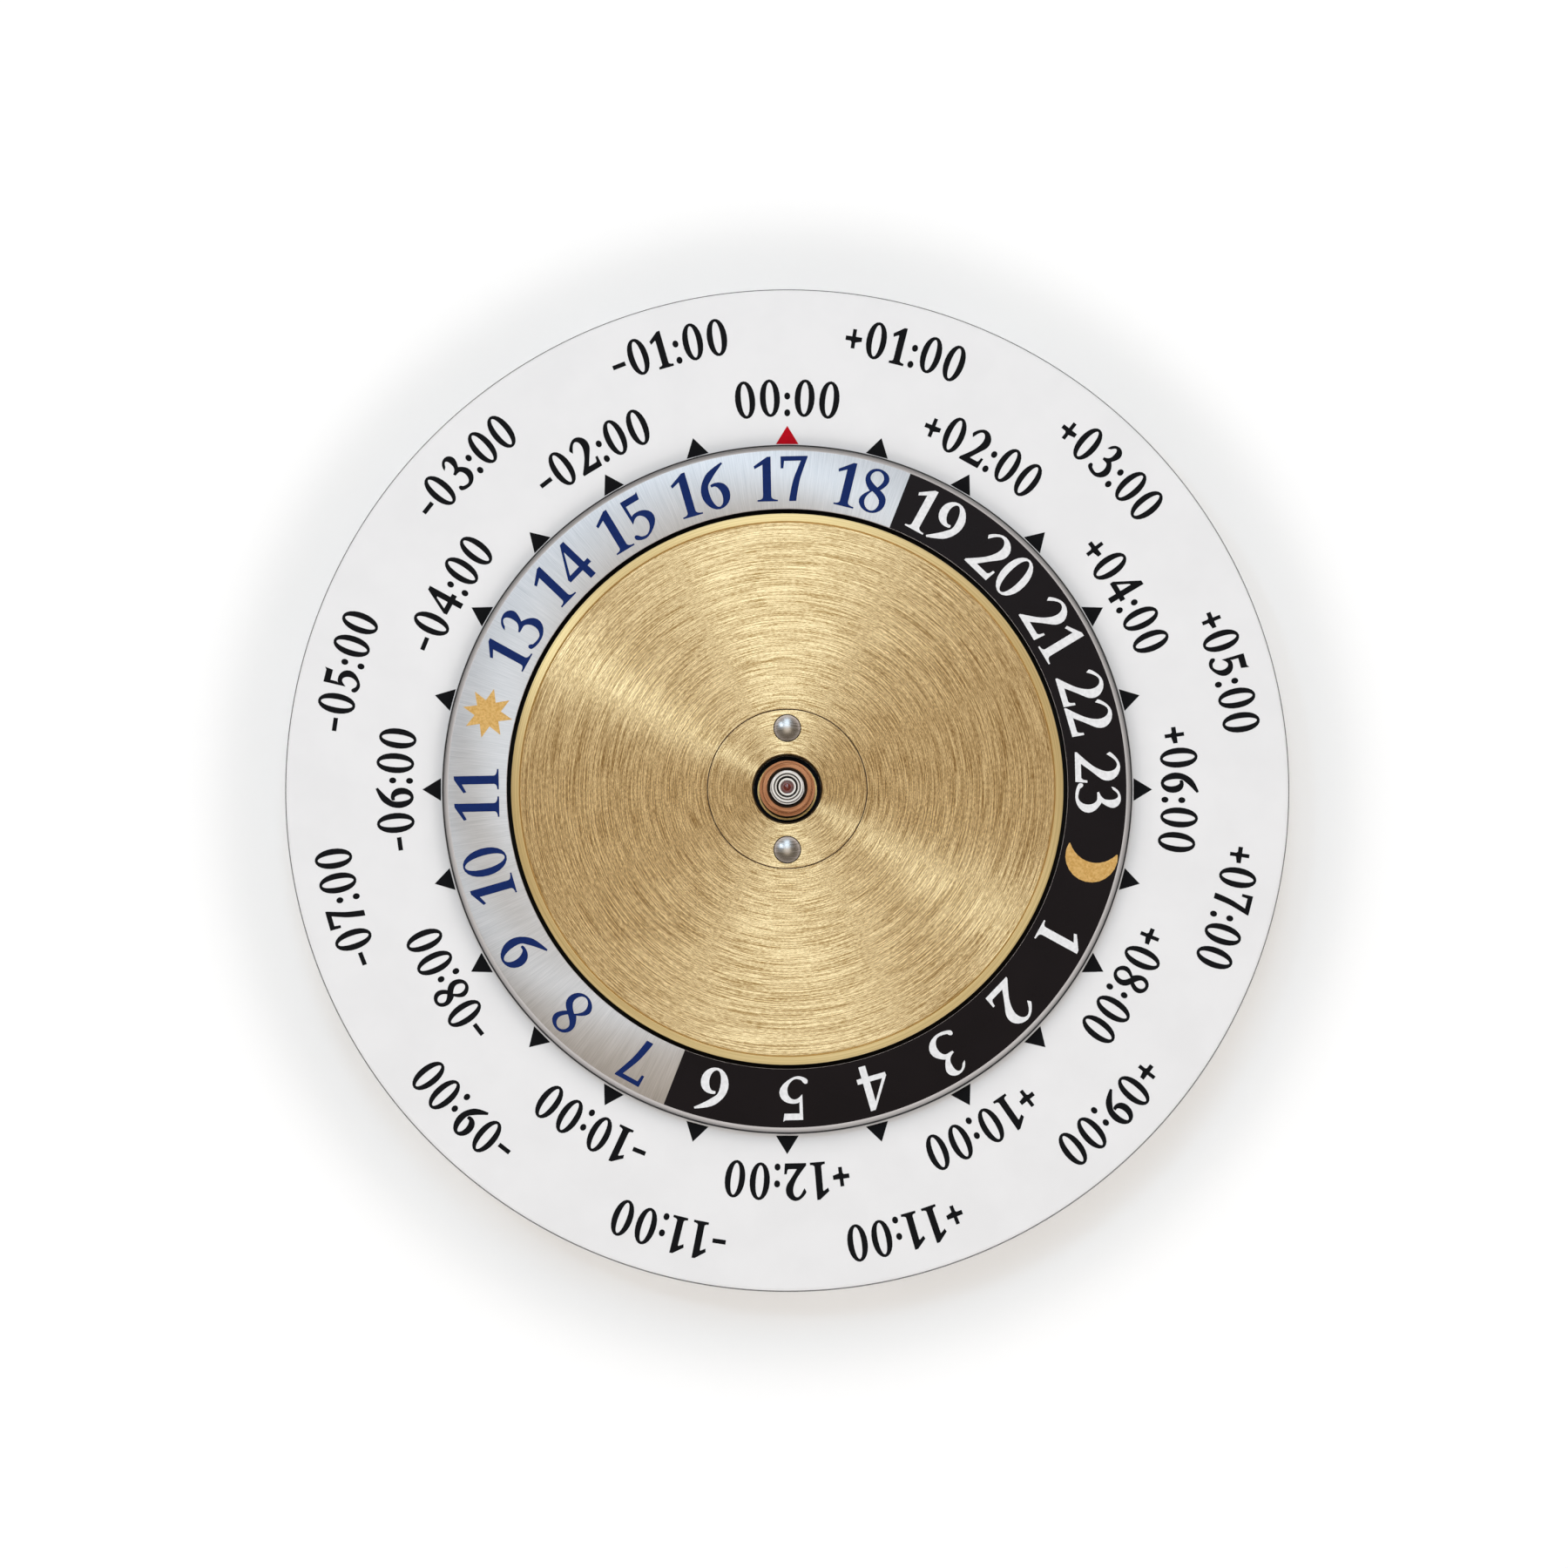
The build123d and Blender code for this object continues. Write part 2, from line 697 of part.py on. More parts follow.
def dial_hub():
    """The hub that stands on the bridge: a flange under the centre plate and a spigot flush with it."""
    hub = turned([
        (hub_hole_radius, bridge_top),
        (hub_flange_radius, bridge_top),
        (hub_flange_radius, flange_top),
        (hub_radius, flange_top),
        (hub_radius, plate_top),
        (hub_hole_radius + hub_hole_edge, plate_top),
        (hub_hole_radius, plate_top - hub_hole_edge),
    ])
    for angle in hub_pin_angles:
        place = polar(hub_pin_distance, angle)
        hub -= rod(hub_pin_radius, plate_top - hub_pin_seat, plate_top + cut_overrun, place)
        hub -= rod(hub_pin_shank_radius, bridge_top - cut_overrun, plate_top + cut_overrun, place)
    return hub


def hub_pins():
    """The two domed pins that hold the hub on the bridge."""
    seat = plate_top - hub_pin_seat
    pin = domed_rod(hub_pin_radius, seat, plate_top, plate_top + hub_pin_dome)
    pin += rod(hub_pin_shank_radius, bridge_bottom, seat)
    return [at(polar(hub_pin_distance, angle), pin) for angle in hub_pin_angles]


def centre_plate():
    """The brass plate, pressed on the hub, with a groove and a sloped rim round its face and a skirt
    that reaches down over the day wheel and keeps it on its rail."""
    skirt_inner = bridge_radius + plate_skirt_play
    rim_start = plate_radius - plate_rim_width
    groove_start = rim_start - plate_groove_width
    return turned([
        (hub_radius, flange_top),
        (skirt_inner, flange_top),
        (skirt_inner, skirt_bottom),
        (plate_radius, skirt_bottom),
        (plate_radius, plate_top - plate_rim_slope),
        (rim_start, plate_top),
        ((rim_start + groove_start) / 2, plate_top - plate_groove_depth),
        (groove_start, plate_top),
        (hub_radius, plate_top),
    ])


def city_disc():
    """The white disc for the time zones, with a softened edge."""
    return turned([
        (city_disc_inner_radius, city_disc_bottom),
        (city_disc_radius - city_disc_edge, city_disc_bottom),
        (city_disc_radius, city_disc_bottom + city_disc_edge),
        (city_disc_radius, city_disc_top - city_disc_edge),
        (city_disc_radius - city_disc_edge, city_disc_top),
        (city_disc_inner_radius, city_disc_top),
    ])


def city_disc_feet():
    """The six feet of the city disc, pressed into its wheel."""
    return [rod(disc_foot_radius, city_disc_bottom - disc_foot_depth, city_disc_bottom,
                polar(disc_foot_distance, angle)) for angle in disc_foot_angles]


def notch_outline(root_radius, mouth_radius, angle):
    """A flat V with a blunt root, opening towards the centre."""
    slope = (notch_half_width - notch_root_half_width) / notch_depth
    mouth = notch_root_half_width + slope * (root_radius - mouth_radius)
    corners = [(mouth_radius, -mouth), (root_radius, -notch_root_half_width),
               (root_radius, notch_root_half_width), (mouth_radius, mouth)]
    return Rot(0, 0, angle) * make_face(Polyline(*corners, close=True))


def city_wheel():
    """The wheel under the city disc: 24 notches below and 120 inner teeth above."""
    lower = Circle(city_wheel_radius) - Circle(city_tip_radius)
    for place in range(city_places):
        lower -= notch_outline(city_tip_radius + notch_depth, city_tip_radius - notch_depth,
                               jumper_beak_angle + 360 * place / city_places)
    upper = inner_teeth_face(city_wheel_radius, city_wheel_teeth, city_module, setting_angle)
    wheel = raised(lower, city_wheel_bottom, gear_level) + raised(upper, gear_level, city_disc_bottom)
    for angle in disc_foot_angles:
        wheel -= rod(disc_foot_radius, city_disc_bottom - disc_foot_depth, city_disc_bottom + cut_overrun,
                     polar(disc_foot_distance, angle))
    return wheel


def city_jumper():
    """The flat spring whose beak rests in a notch of the city wheel: foot, curved arm and beak."""
    foot_middle_angle = (jumper_foot_start_angle + jumper_foot_end_angle) / 2
    foot = sector(jumper_foot_inner, jumper_foot_outer, jumper_foot_start_angle, jumper_foot_end_angle)
    arm = sector(jumper_arm_radius - jumper_arm_width / 2, jumper_arm_radius + jumper_arm_width / 2,
                 jumper_beak_angle, foot_middle_angle)
    root_radius = city_tip_radius + notch_depth - jumper_beak_play
    slope = (notch_half_width - notch_root_half_width) / notch_depth
    shoulder_radius = root_radius - (jumper_beak_half_width - notch_root_half_width) / slope
    corners = [
        (jumper_arm_radius - jumper_arm_width / 2, -jumper_beak_half_width),
        (shoulder_radius, -jumper_beak_half_width),
        (root_radius, -notch_root_half_width),
        (root_radius, notch_root_half_width),
        (shoulder_radius, jumper_beak_half_width),
        (jumper_arm_radius - jumper_arm_width / 2, jumper_beak_half_width),
    ]
    beak = Rot(0, 0, jumper_beak_angle) * make_face(Polyline(*corners, close=True))
    face = foot + arm + beak
    face -= Pos(*jumper_screw_place) * Circle(screw_shank_radius)
    face -= Pos(*jumper_pin_place) * Circle(jumper_pin_radius)
    return raised(face, channel_floor, channel_floor + jumper_thickness)


def jumper_screw():
    """The screw that holds the jumper's foot."""
    seat = channel_floor + jumper_thickness
    return at(jumper_screw_place, screw(seat, channel_floor - jumper_hold_depth))


def jumper_pin():
    """The steady pin that keeps the jumper's foot from turning."""
    top = channel_floor + jumper_thickness + jumper_pin_stands_out
    return rod(jumper_pin_radius, channel_floor - jumper_hold_depth, top, jumper_pin_place)


def setting_bush():
    """The bush in the base plate that the setting arbor turns in."""
    return at(setting_place, tube(setting_bush_radius, setting_bore_radius, 0, channel_floor))


def setting_washer():
    """The washer between the setting pinion's shoulder and the plate."""
    outer = setting_bush_radius + setting_washer_margin
    return at(setting_place, tube(outer, setting_bore_radius, channel_floor, setting_washer_top))


def setting_pinion():
    """The pinion that turns the city wheel, one piece with an arbor that ends in a slot at the rear."""
    leaves = wheel_face(setting_leaves, city_module, pinion_leaf_share, setting_angle)
    bottom = gear_level + axial_play
    pinion = raised(leaves, bottom, bottom + setting_pinion_height)
    pinion += rod(setting_arbor_radius + setting_shoulder_step, setting_washer_top + axial_play, bottom)
    pinion += rod(setting_arbor_radius, 0, setting_washer_top + axial_play)
    pinion -= slot(driver_slot_width, 2 * setting_bush_radius, -cut_overrun, driver_slot_depth)
    return at(setting_place, pinion)


pieces = [
    base_plate, centre_tube, jewel_setting, centre_jewel, cannon_pinion, minute_wheel, minute_pinion,
    minute_bush, hour_wheel, drive_collet, drive_wheel, dial_washer, reverser_stud, reverser_bush,
    reverser_wheel, day_wheel, day_ring_feet, day_night_ring, bridge_pillars, centre_bridge,
    bridge_screws, dial_hub, hub_pins, centre_plate, city_disc, city_disc_feet, city_wheel,
    city_jumper, jumper_screw, jumper_pin, setting_bush, setting_washer, setting_pinion,
]
os.makedirs("parts", exist_ok=True)
for piece in pieces:
    made = piece()
    solids = made if isinstance(made, list) else made.solids()
    export_step(Compound(solids), f"parts/{piece.__name__}.step")
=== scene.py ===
import math

import bmesh
import bpy
from mathutils import Matrix, Vector


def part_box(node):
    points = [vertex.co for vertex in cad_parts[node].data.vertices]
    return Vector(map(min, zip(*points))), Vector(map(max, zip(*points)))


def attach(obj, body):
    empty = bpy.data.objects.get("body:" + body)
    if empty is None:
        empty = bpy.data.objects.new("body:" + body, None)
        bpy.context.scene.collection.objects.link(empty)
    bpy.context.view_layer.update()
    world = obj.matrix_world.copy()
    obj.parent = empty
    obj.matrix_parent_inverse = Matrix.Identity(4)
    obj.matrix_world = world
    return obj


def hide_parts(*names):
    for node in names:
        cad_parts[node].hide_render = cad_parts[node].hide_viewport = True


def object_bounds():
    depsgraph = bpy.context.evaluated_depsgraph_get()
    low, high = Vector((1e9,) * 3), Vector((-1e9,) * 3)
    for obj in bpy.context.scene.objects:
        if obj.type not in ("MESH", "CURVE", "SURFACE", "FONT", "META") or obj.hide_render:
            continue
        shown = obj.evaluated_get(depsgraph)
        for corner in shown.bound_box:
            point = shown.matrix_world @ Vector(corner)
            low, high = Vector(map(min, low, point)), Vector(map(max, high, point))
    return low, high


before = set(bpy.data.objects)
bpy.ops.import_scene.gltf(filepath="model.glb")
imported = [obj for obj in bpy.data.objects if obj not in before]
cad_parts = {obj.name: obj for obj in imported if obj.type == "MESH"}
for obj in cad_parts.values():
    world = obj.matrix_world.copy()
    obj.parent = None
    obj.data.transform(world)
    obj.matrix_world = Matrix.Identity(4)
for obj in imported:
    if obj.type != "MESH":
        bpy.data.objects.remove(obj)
cad_low, cad_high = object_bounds()

# The camera looks down on the display from half a metre, leaning a little towards its lower edge.
# Its image is taken as 1800 x 1800 pixels, and is 48.4 mm wide at the level of the white disc.
mm = 0.001
camera_distance = 500 * mm
camera_lean = math.radians(3.3)
camera_offset = (-0.10 * mm, 0.17 * mm)
nearest_seen = 10 * mm
image_width = 48.4 * mm
sensor_width = 36.0
disc_low, disc_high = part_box("city_disc")
camera_aim = Vector((*camera_offset, disc_high.z))
camera_data = bpy.data.cameras.new("camera")
camera_data.sensor_width = sensor_width
camera_data.lens = sensor_width * camera_distance / image_width
camera_data.clip_start = nearest_seen
camera = bpy.data.objects.new("camera", camera_data)
camera.location = camera_aim + camera_distance * Vector((0, -math.sin(camera_lean), math.cos(camera_lean)))
camera.rotation_euler = (camera_lean, 0, 0)
bpy.context.scene.collection.objects.link(camera)
bpy.context.scene.camera = camera

# The floor is a wide sheet of matt white paper. It lies just under the rear face of the base plate
# and doesn't touch it.
floor_reach = 900 * mm
floor_gap = 0.02 * mm
paper_white = (0.99, 0.99, 0.99, 1)
floor_shape = bmesh.new()
bmesh.ops.create_grid(floor_shape, x_segments=1, y_segments=1, size=floor_reach,
                      matrix=Matrix.Translation((0, 0, cad_low.z - floor_gap)))
floor_mesh = bpy.data.meshes.new("floor")
floor_shape.to_mesh(floor_mesh)
floor_shape.free()
paper = bpy.data.materials.new("white paper")
paper.use_nodes = True
paper_shader = paper.node_tree.nodes["Principled BSDF"]
paper_shader.inputs["Base Color"].default_value = paper_white
paper_shader.inputs["Roughness"].default_value = 0.9
paper_shader.inputs["Specular IOR Level"].default_value = 0.5
floor_mesh.materials.append(paper)
floor = bpy.data.objects.new("floor", floor_mesh)
bpy.context.scene.collection.objects.link(floor)

# The light is that of a white tent with a small bright opening overhead, dim cloth round that, a pale
# band further down and a dark foot. Two soft boxes stand close beside the camera, a wide one over the
# top of the dial and a narrow one to its left, which a brushed face spreads into bright rays.
light_distance = 300 * mm
box_colour = (1.0, 1.34, 1.68)
tent_strength = 1.25
dark_foot = (0.11, 0.11, 0.11)
pale_cloth = (1.50, 1.455, 1.43)
dim_cloth = (0.116, 0.098, 0.066)
opening = (0.95, 0.87, 0.66)
# A band's edge is given by the upward part of its direction, from 0 at the horizon to 1 overhead.
tent_bands = (
    (0.00, dark_foot),
    (0.30, dark_foot),
    (0.38, pale_cloth),
    (0.72, pale_cloth),
    (0.80, dim_cloth),
    (0.975, dim_cloth),
    (0.99, opening),
)


def add_node(tree, kind, sockets, **settings):
    """A shader node whose sockets are linked to other sockets or set to values."""
    node = tree.nodes.new("ShaderNode" + kind)
    for setting, value in settings.items():
        setattr(node, setting, value)
    for socket, value in sockets.items():
        if isinstance(value, bpy.types.NodeSocket):
            tree.links.new(value, node.inputs[socket])
        else:
            node.inputs[socket].default_value = value
    return node


world = bpy.data.worlds.new("white tent")
world.use_nodes = True
tent = world.node_tree
direction = add_node(tent, "TexCoord", {}).outputs["Generated"]
upward = add_node(tent, "SeparateXYZ", {"Vector": direction}).outputs["Z"]
bands = add_node(tent, "ValToRGB", {"Fac": upward})
stops = bands.color_ramp.elements
stops.remove(stops[0])
stops[0].position = 1
for upward_share, cloth in tent_bands:
    stops.new(upward_share).color = (*cloth, 1)
tent.nodes["Background"].inputs["Strength"].default_value = tent_strength
tent.links.new(bands.outputs["Color"], tent.nodes["Background"].inputs["Color"])
bpy.context.scene.world = world
bpy.context.scene.view_settings.view_transform = "Standard"


def soft_box(name, azimuth, zenith, width, height, power):
    """A soft box over the dial, at an azimuth clockwise from the top and an angle from overhead."""
    light = bpy.data.lights.new(name, "AREA")
    light.shape = "RECTANGLE"
    light.size = width
    light.size_y = height
    light.energy = power
    light.color = box_colour
    turn, lean = math.radians(azimuth), math.radians(zenith)
    direction = Vector((math.sin(lean) * math.sin(turn), math.sin(lean) * math.cos(turn), math.cos(lean)))
    box = bpy.data.objects.new(name, light)
    box.location = light_distance * direction
    box.rotation_euler = direction.to_track_quat("Z", "Y").to_euler()
    box.visible_camera = False
    bpy.context.scene.collection.objects.link(box)


soft_box("wide soft box", azimuth=-2, zenith=20, width=73 * mm, height=128 * mm, power=0.061)
soft_box("narrow soft box", azimuth=-52, zenith=23, width=21 * mm, height=43 * mm, power=0.031)

# The base plate is turned from brass and plated, with a finely blasted skin. It carries everything:
# the channel of the city wheel, the rail of the day wheel and the recess of the motion work.
merge_distance = 0.0005 * mm
shortest_edge = 0.00005 * mm
coarse_crease = math.radians(30)


def start_finish(name, values):
    """A new finish, its node tree and its shader, with the shader's even values set."""
    finish = bpy.data.materials.new(name)
    finish.use_nodes = True
    shader = finish.node_tree.nodes["Principled BSDF"]
    for socket, value in values.items():
        shader.inputs[socket].default_value = value
    return finish, finish.node_tree, shader


def noise(tree, size, detail=3.0, place=None):
    """Noise whose lumps are about size metres across."""
    place = place or add_node(tree, "TexCoord", {}).outputs["Object"]
    return add_node(tree, "TexNoise", {"Vector": place, "Scale": 1 / size, "Detail": detail}).outputs["Fac"]


def colours(tree, pattern, dark, light, middle=0.5, spread=0.15):
    """A colour that runs from dark to light as a noise does within spread of its middle."""
    ramp = add_node(tree, "ValToRGB", {"Fac": pattern})
    darkest, lightest = ramp.color_ramp.elements
    darkest.position = middle - spread
    darkest.color = (*dark, 1)
    lightest.position = middle + spread
    lightest.color = (*light, 1)
    return ramp.outputs["Color"]


def between(tree, pattern, low, high, start=0.3, end=0.7):
    """A value that runs from low to high as a noise runs from start to end."""
    return add_node(tree, "MapRange", {"Value": pattern, "From Min": start, "From Max": end,
                                       "To Min": low, "To Max": high}).outputs["Result"]


def link_finish(tree, shader, links):
    """Links a shader's sockets to the patterns of its finish."""
    for socket, pattern in links.items():
        tree.links.new(pattern, shader.inputs[socket])


def relief(tree, height, depth):
    """The surface's tilt from a pattern of heights that are depth metres deep."""
    return add_node(tree, "Bump", {"Height": height, "Distance": depth}).outputs["Normal"]


def close_shape(shape, crease):
    """Closes a shape's seams, turns its faces outwards and keeps only the edges over a crease sharp."""
    bmesh.ops.remove_doubles(shape, verts=shape.verts, dist=merge_distance)
    bmesh.ops.dissolve_degenerate(shape, edges=shape.edges, dist=shortest_edge)
    bmesh.ops.recalc_face_normals(shape, faces=shape.faces)
    for face in shape.faces:
        face.smooth = True
    for edge in shape.edges:
        edge.smooth = edge.calc_face_angle(0) < crease


def shown(name, shape, finish, crease):
    """Closes a finished shape and makes it an object with its finish."""
    close_shape(shape, crease)
    mesh = bpy.data.meshes.new(name)
    shape.to_mesh(mesh)
    shape.free()
    mesh.materials.append(finish)
    made = bpy.data.objects.new(name, mesh)
    bpy.context.scene.collection.objects.link(made)
    return made


def smooth_copy(node):
    """A copy of a node's mesh, to be closed and shaded smooth."""
    shape = bmesh.new()
    shape.from_mesh(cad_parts[node].data)
    return shape


def blasted_plate():
    """Plated brass with the fine matt grain of blasting."""
    finish, tree, shader = start_finish("blasted plated brass", {"Metallic": 1.0})
    grain = noise(tree, size=0.05 * mm)
    patches = noise(tree, size=4 * mm)
    link_finish(tree, shader, {
        "Base Color": colours(tree, patches, dark=(0.58, 0.56, 0.53), light=(0.68, 0.67, 0.65)),
        "Roughness": between(tree, patches, low=0.30, high=0.42),
        "Normal": relief(tree, grain, depth=0.004 * mm),
    })
    return finish


blasted = blasted_plate()
base = shown("main_plate", smooth_copy("base_plate"), blasted, coarse_crease)
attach(base, "root")
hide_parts("base_plate")

# The centre tube is drawn steel, pressed into the base plate. Its polished mouth holds a steel
# setting with a raised rim, and a domed ruby is rubbed into that.
round_steps = 256
small_round_steps = 96
corner_segments = 2
fine_crease = math.radians(12)


def radii(node):
    """The smallest and the largest radius of a node round the middle of the dial."""
    distances = [math.hypot(vertex.co.x, vertex.co.y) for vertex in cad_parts[node].data.vertices]
    return min(distances), max(distances)


def turned(profile, rounding=0.0, steps=round_steps, place=(0, 0)):
    """A shape turned on a lathe from the (radius, height) points of its profile, with rounded corners.
    A profile that starts and ends on the axis stays open there."""
    shape = bmesh.new()
    corners = [shape.verts.new((radius, 0, height)) for radius, height in profile]
    edges = [shape.edges.new(pair) for pair in zip(corners, corners[1:])]
    if profile[0][0] > 0:
        edges.append(shape.edges.new((corners[-1], corners[0])))
    if rounding:
        bmesh.ops.bevel(shape, geom=[corner for corner in corners if corner.co.x > 0], offset=rounding,
                        offset_type="OFFSET", affect="VERTICES", segments=corner_segments,
                        profile=0.5, material=-1)
    bmesh.ops.spin(shape, geom=shape.verts[:] + shape.edges[:], axis=(0, 0, 1), cent=(0, 0, 0),
                   angle=2 * math.pi, steps=steps, use_merge=True)
    bmesh.ops.translate(shape, verts=shape.verts, vec=(*place, 0))
    return shape


def level_place(tree):
    """The place on a piece with its height left out, so that its length is the distance from the middle."""
    place = add_node(tree, "TexCoord", {}).outputs["Object"]
    return add_node(tree, "VectorMath", {0: place, 1: (1, 1, 0)}, operation="MULTIPLY").outputs["Vector"]


def outward(tree):
    """The direction that points away from the middle of the dial."""
    return add_node(tree, "VectorMath", {0: level_place(tree)}, operation="NORMALIZE").outputs["Vector"]


def round_grain(tree, reach, pitch, detail=3.0):
    """Noise drawn out round the middle of the dial: its grains are 1 / reach of their radius long and
    pitch metres wide."""
    along = add_node(tree, "VectorMath", {0: outward(tree), "Scale": reach},
                     operation="SCALE").outputs["Vector"]
    radius = add_node(tree, "VectorMath", {0: level_place(tree)}, operation="LENGTH").outputs["Value"]
    turns = add_node(tree, "Math", {0: radius, 1: 1 / pitch}, operation="MULTIPLY").outputs["Value"]
    across = add_node(tree, "CombineXYZ", {"Z": turns}).outputs["Vector"]
    drawn = add_node(tree, "VectorMath", {0: along, 1: across}, operation="ADD").outputs["Vector"]
    return noise(tree, 1.0, detail, place=drawn)


def shade(colour, share):
    """A colour that keeps share of its light."""
    return tuple(share * part for part in colour)


def polished(name, colour, roughness=0.09, uneven=1.5):
    """Polished metal with faint turning marks round the middle of the dial."""
    finish, tree, shader = start_finish(name, {"Metallic": 1.0})
    marks = round_grain(tree, reach=1, pitch=0.045 * mm)
    link_finish(tree, shader, {
        "Base Color": colours(tree, marks, dark=shade(colour, share=0.90), light=colour),
        "Roughness": between(tree, marks, low=roughness, high=uneven * roughness),
        "Normal": relief(tree, marks, depth=0.0003 * mm),
    })
    return finish


def ruby_glass():
    """Polished synthetic ruby, a little cloudy inside."""
    finish, tree, shader = start_finish("ruby", {"Roughness": 0.06, "IOR": 1.77})
    cloud = noise(tree, size=0.10 * mm)
    link_finish(tree, shader, {
        "Base Color": colours(tree, cloud, dark=(0.07, 0.010, 0.007), light=(0.17, 0.026, 0.018)),
    })
    return finish


steel = polished("polished steel", (0.66, 0.635, 0.615))
tube_edge = 0.02 * mm
tube_wall = 0.07 * mm
tube_low, tube_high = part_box("centre_tube")
tube_radius = radii("centre_tube")[1]
tube_bore = tube_radius - tube_wall
tube = shown("middle_tube", turned([
    (tube_bore, tube_low.z),
    (tube_radius, tube_low.z),
    (tube_radius, tube_high.z - tube_edge),
    (tube_radius - tube_edge, tube_high.z),
    (tube_bore + tube_edge, tube_high.z),
    (tube_bore, tube_high.z - tube_edge),
]), steel, fine_crease)
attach(tube, "root")
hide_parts("centre_tube")

setting_low, setting_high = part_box("jewel_setting")
jewel_low, jewel_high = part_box("centre_jewel")
jewel_radius = radii("centre_jewel")[1]
setting_lip = 0.035 * mm
setting_rim = 0.055 * mm
setting_drop = 0.10 * mm
setting = shown("jewel_cup", turned([
    (jewel_radius, setting_low.z),
    (tube_bore, setting_low.z),
    (tube_bore, setting_high.z - setting_drop),
    (jewel_radius + setting_lip + setting_rim, setting_high.z),
    (jewel_radius + setting_lip, setting_high.z),
    (jewel_radius, jewel_high.z),
], rounding=0.004 * mm), steel, fine_crease)
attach(setting, "root")
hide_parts("jewel_setting")


def domed_profile(radius, bottom, shoulder, top, points=8):
    """The profile of a round rod with a domed end, from the axis at its foot to the axis at its top."""
    height = top - shoulder
    dome_radius = (radius ** 2 + height ** 2) / (2 * height)
    lean = math.asin(radius / dome_radius)
    steps = [lean * (1 - point / points) for point in range(points + 1)]
    dome = [(dome_radius * math.sin(step), top - dome_radius * (1 - math.cos(step))) for step in steps]
    return [(0, bottom), (radius, bottom)] + dome


jewel_dome = 0.05 * mm
ruby = ruby_glass()
jewel_profile = domed_profile(jewel_radius, jewel_low.z, jewel_high.z - jewel_dome, jewel_high.z)
jewel = shown("ruby_jewel", turned(jewel_profile, steps=small_round_steps), ruby, fine_crease)
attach(jewel, "root")
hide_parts("centre_jewel")

# The wheels, bushes and feet of the trains are cut from brass and gilt, then grained lightly. They
# keep the frame's shapes and turn on steel arbors and pinions. The pillars and screws are steel too.


def dress(node, finish):
    """Gives a piece of the frame its finish."""
    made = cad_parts[node]
    if not made.material_slots:
        made.data.materials.append(finish)
    for slot in made.material_slots:
        slot.material = finish


def gilt_brass():
    """Gilt brass with a light grain."""
    finish, tree, shader = start_finish("gilt brass", {"Metallic": 1.0})
    grain = noise(tree, size=0.08 * mm)
    link_finish(tree, shader, {
        "Base Color": colours(tree, grain, dark=(0.66, 0.44, 0.17), light=(0.80, 0.58, 0.26)),
        "Roughness": between(tree, grain, low=0.22, high=0.38),
        "Normal": relief(tree, grain, depth=0.001 * mm),
    })
    return finish


gilt = gilt_brass()
for wheel_piece in ("minute_wheel", "minute_bush", "drive_wheel", "drive_collet", "reverser_wheel",
                    "reverser_bush", "day_ring_feet", "city_wheel", "city_disc_feet", "setting_bush"):
    dress(wheel_piece, gilt)
for steel_piece in ("minute_pinion", "setting_pinion", "reverser_stud", "bridge_pillars",
                    "bridge_screws", "jumper_screw", "jumper_pin"):
    dress(steel_piece, steel)

# The cannon pinion is a polished steel pipe for the minute hand, with a shoulder under the hand's
# seat. It turns on the centre tube, and its leaves at the foot drive the minute wheel.
cannon_low, cannon_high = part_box("cannon_pinion")
cannon_bore = radii("cannon_pinion")[0]
cannon_wall = 0.085 * mm
cannon_shoulder_width = 0.015 * mm
cannon_seat = cannon_bore + cannon_wall
cannon_shoulder = cannon_seat + cannon_shoulder_width
cannon_seat_height = 0.46 * mm
cannon_edge = 0.03 * mm
leaves_height = 0.40 * mm
cannon_leaves = 12
leaf_tip = radii("cannon_pinion")[1]
root_width_share = 1.35
tip_width_share = 0.55
bore_steps_per_tooth = 8


def join(shape, other):
    """Adds another shape to a shape."""
    mesh = bpy.data.meshes.new("joined")
    other.to_mesh(mesh)
    other.free()
    shape.from_mesh(mesh)
    bpy.data.meshes.remove(mesh)
    return shape


def toothed_disc(teeth, root, tip, bore, low, high, tooth_share):
    """A flat disc with teeth and a round bore. One tooth, with its centre at the foot of the dial, is
    drawn as a path and repeated round the middle. Half way up it takes tooth_share of its pitch."""
    shape = bmesh.new()
    pitch = 2 * math.pi / teeth
    half_width = tooth_share * pitch / 2
    flank = [
        (root, pitch / 2),
        (root, root_width_share * half_width),
        ((root + tip) / 2, half_width),
        (tip, tip_width_share * half_width),
    ]
    corners = [(radius, -turn) for radius, turn in flank] + flank[::-1]
    path = [shape.verts.new((radius * math.sin(turn), -radius * math.cos(turn), low))
            for radius, turn in corners]
    edges = [shape.edges.new(pair) for pair in zip(path, path[1:])]
    bmesh.ops.spin(shape, geom=path + edges, axis=(0, 0, 1), cent=(0, 0, 0), angle=2 * math.pi,
                   steps=teeth, use_duplicate=True)
    bmesh.ops.remove_doubles(shape, verts=shape.verts, dist=merge_distance)
    bmesh.ops.create_circle(shape, segments=bore_steps_per_tooth * teeth, radius=bore,
                            matrix=Matrix.Translation((0, 0, low)))
    bmesh.ops.bridge_loops(shape, edges=shape.edges[:])
    top = bmesh.ops.extrude_face_region(shape, geom=shape.faces[:])["geom"]
    bmesh.ops.translate(shape, verts=[part for part in top if isinstance(part, bmesh.types.BMVert)],
                        vec=(0, 0, high - low))
    return shape


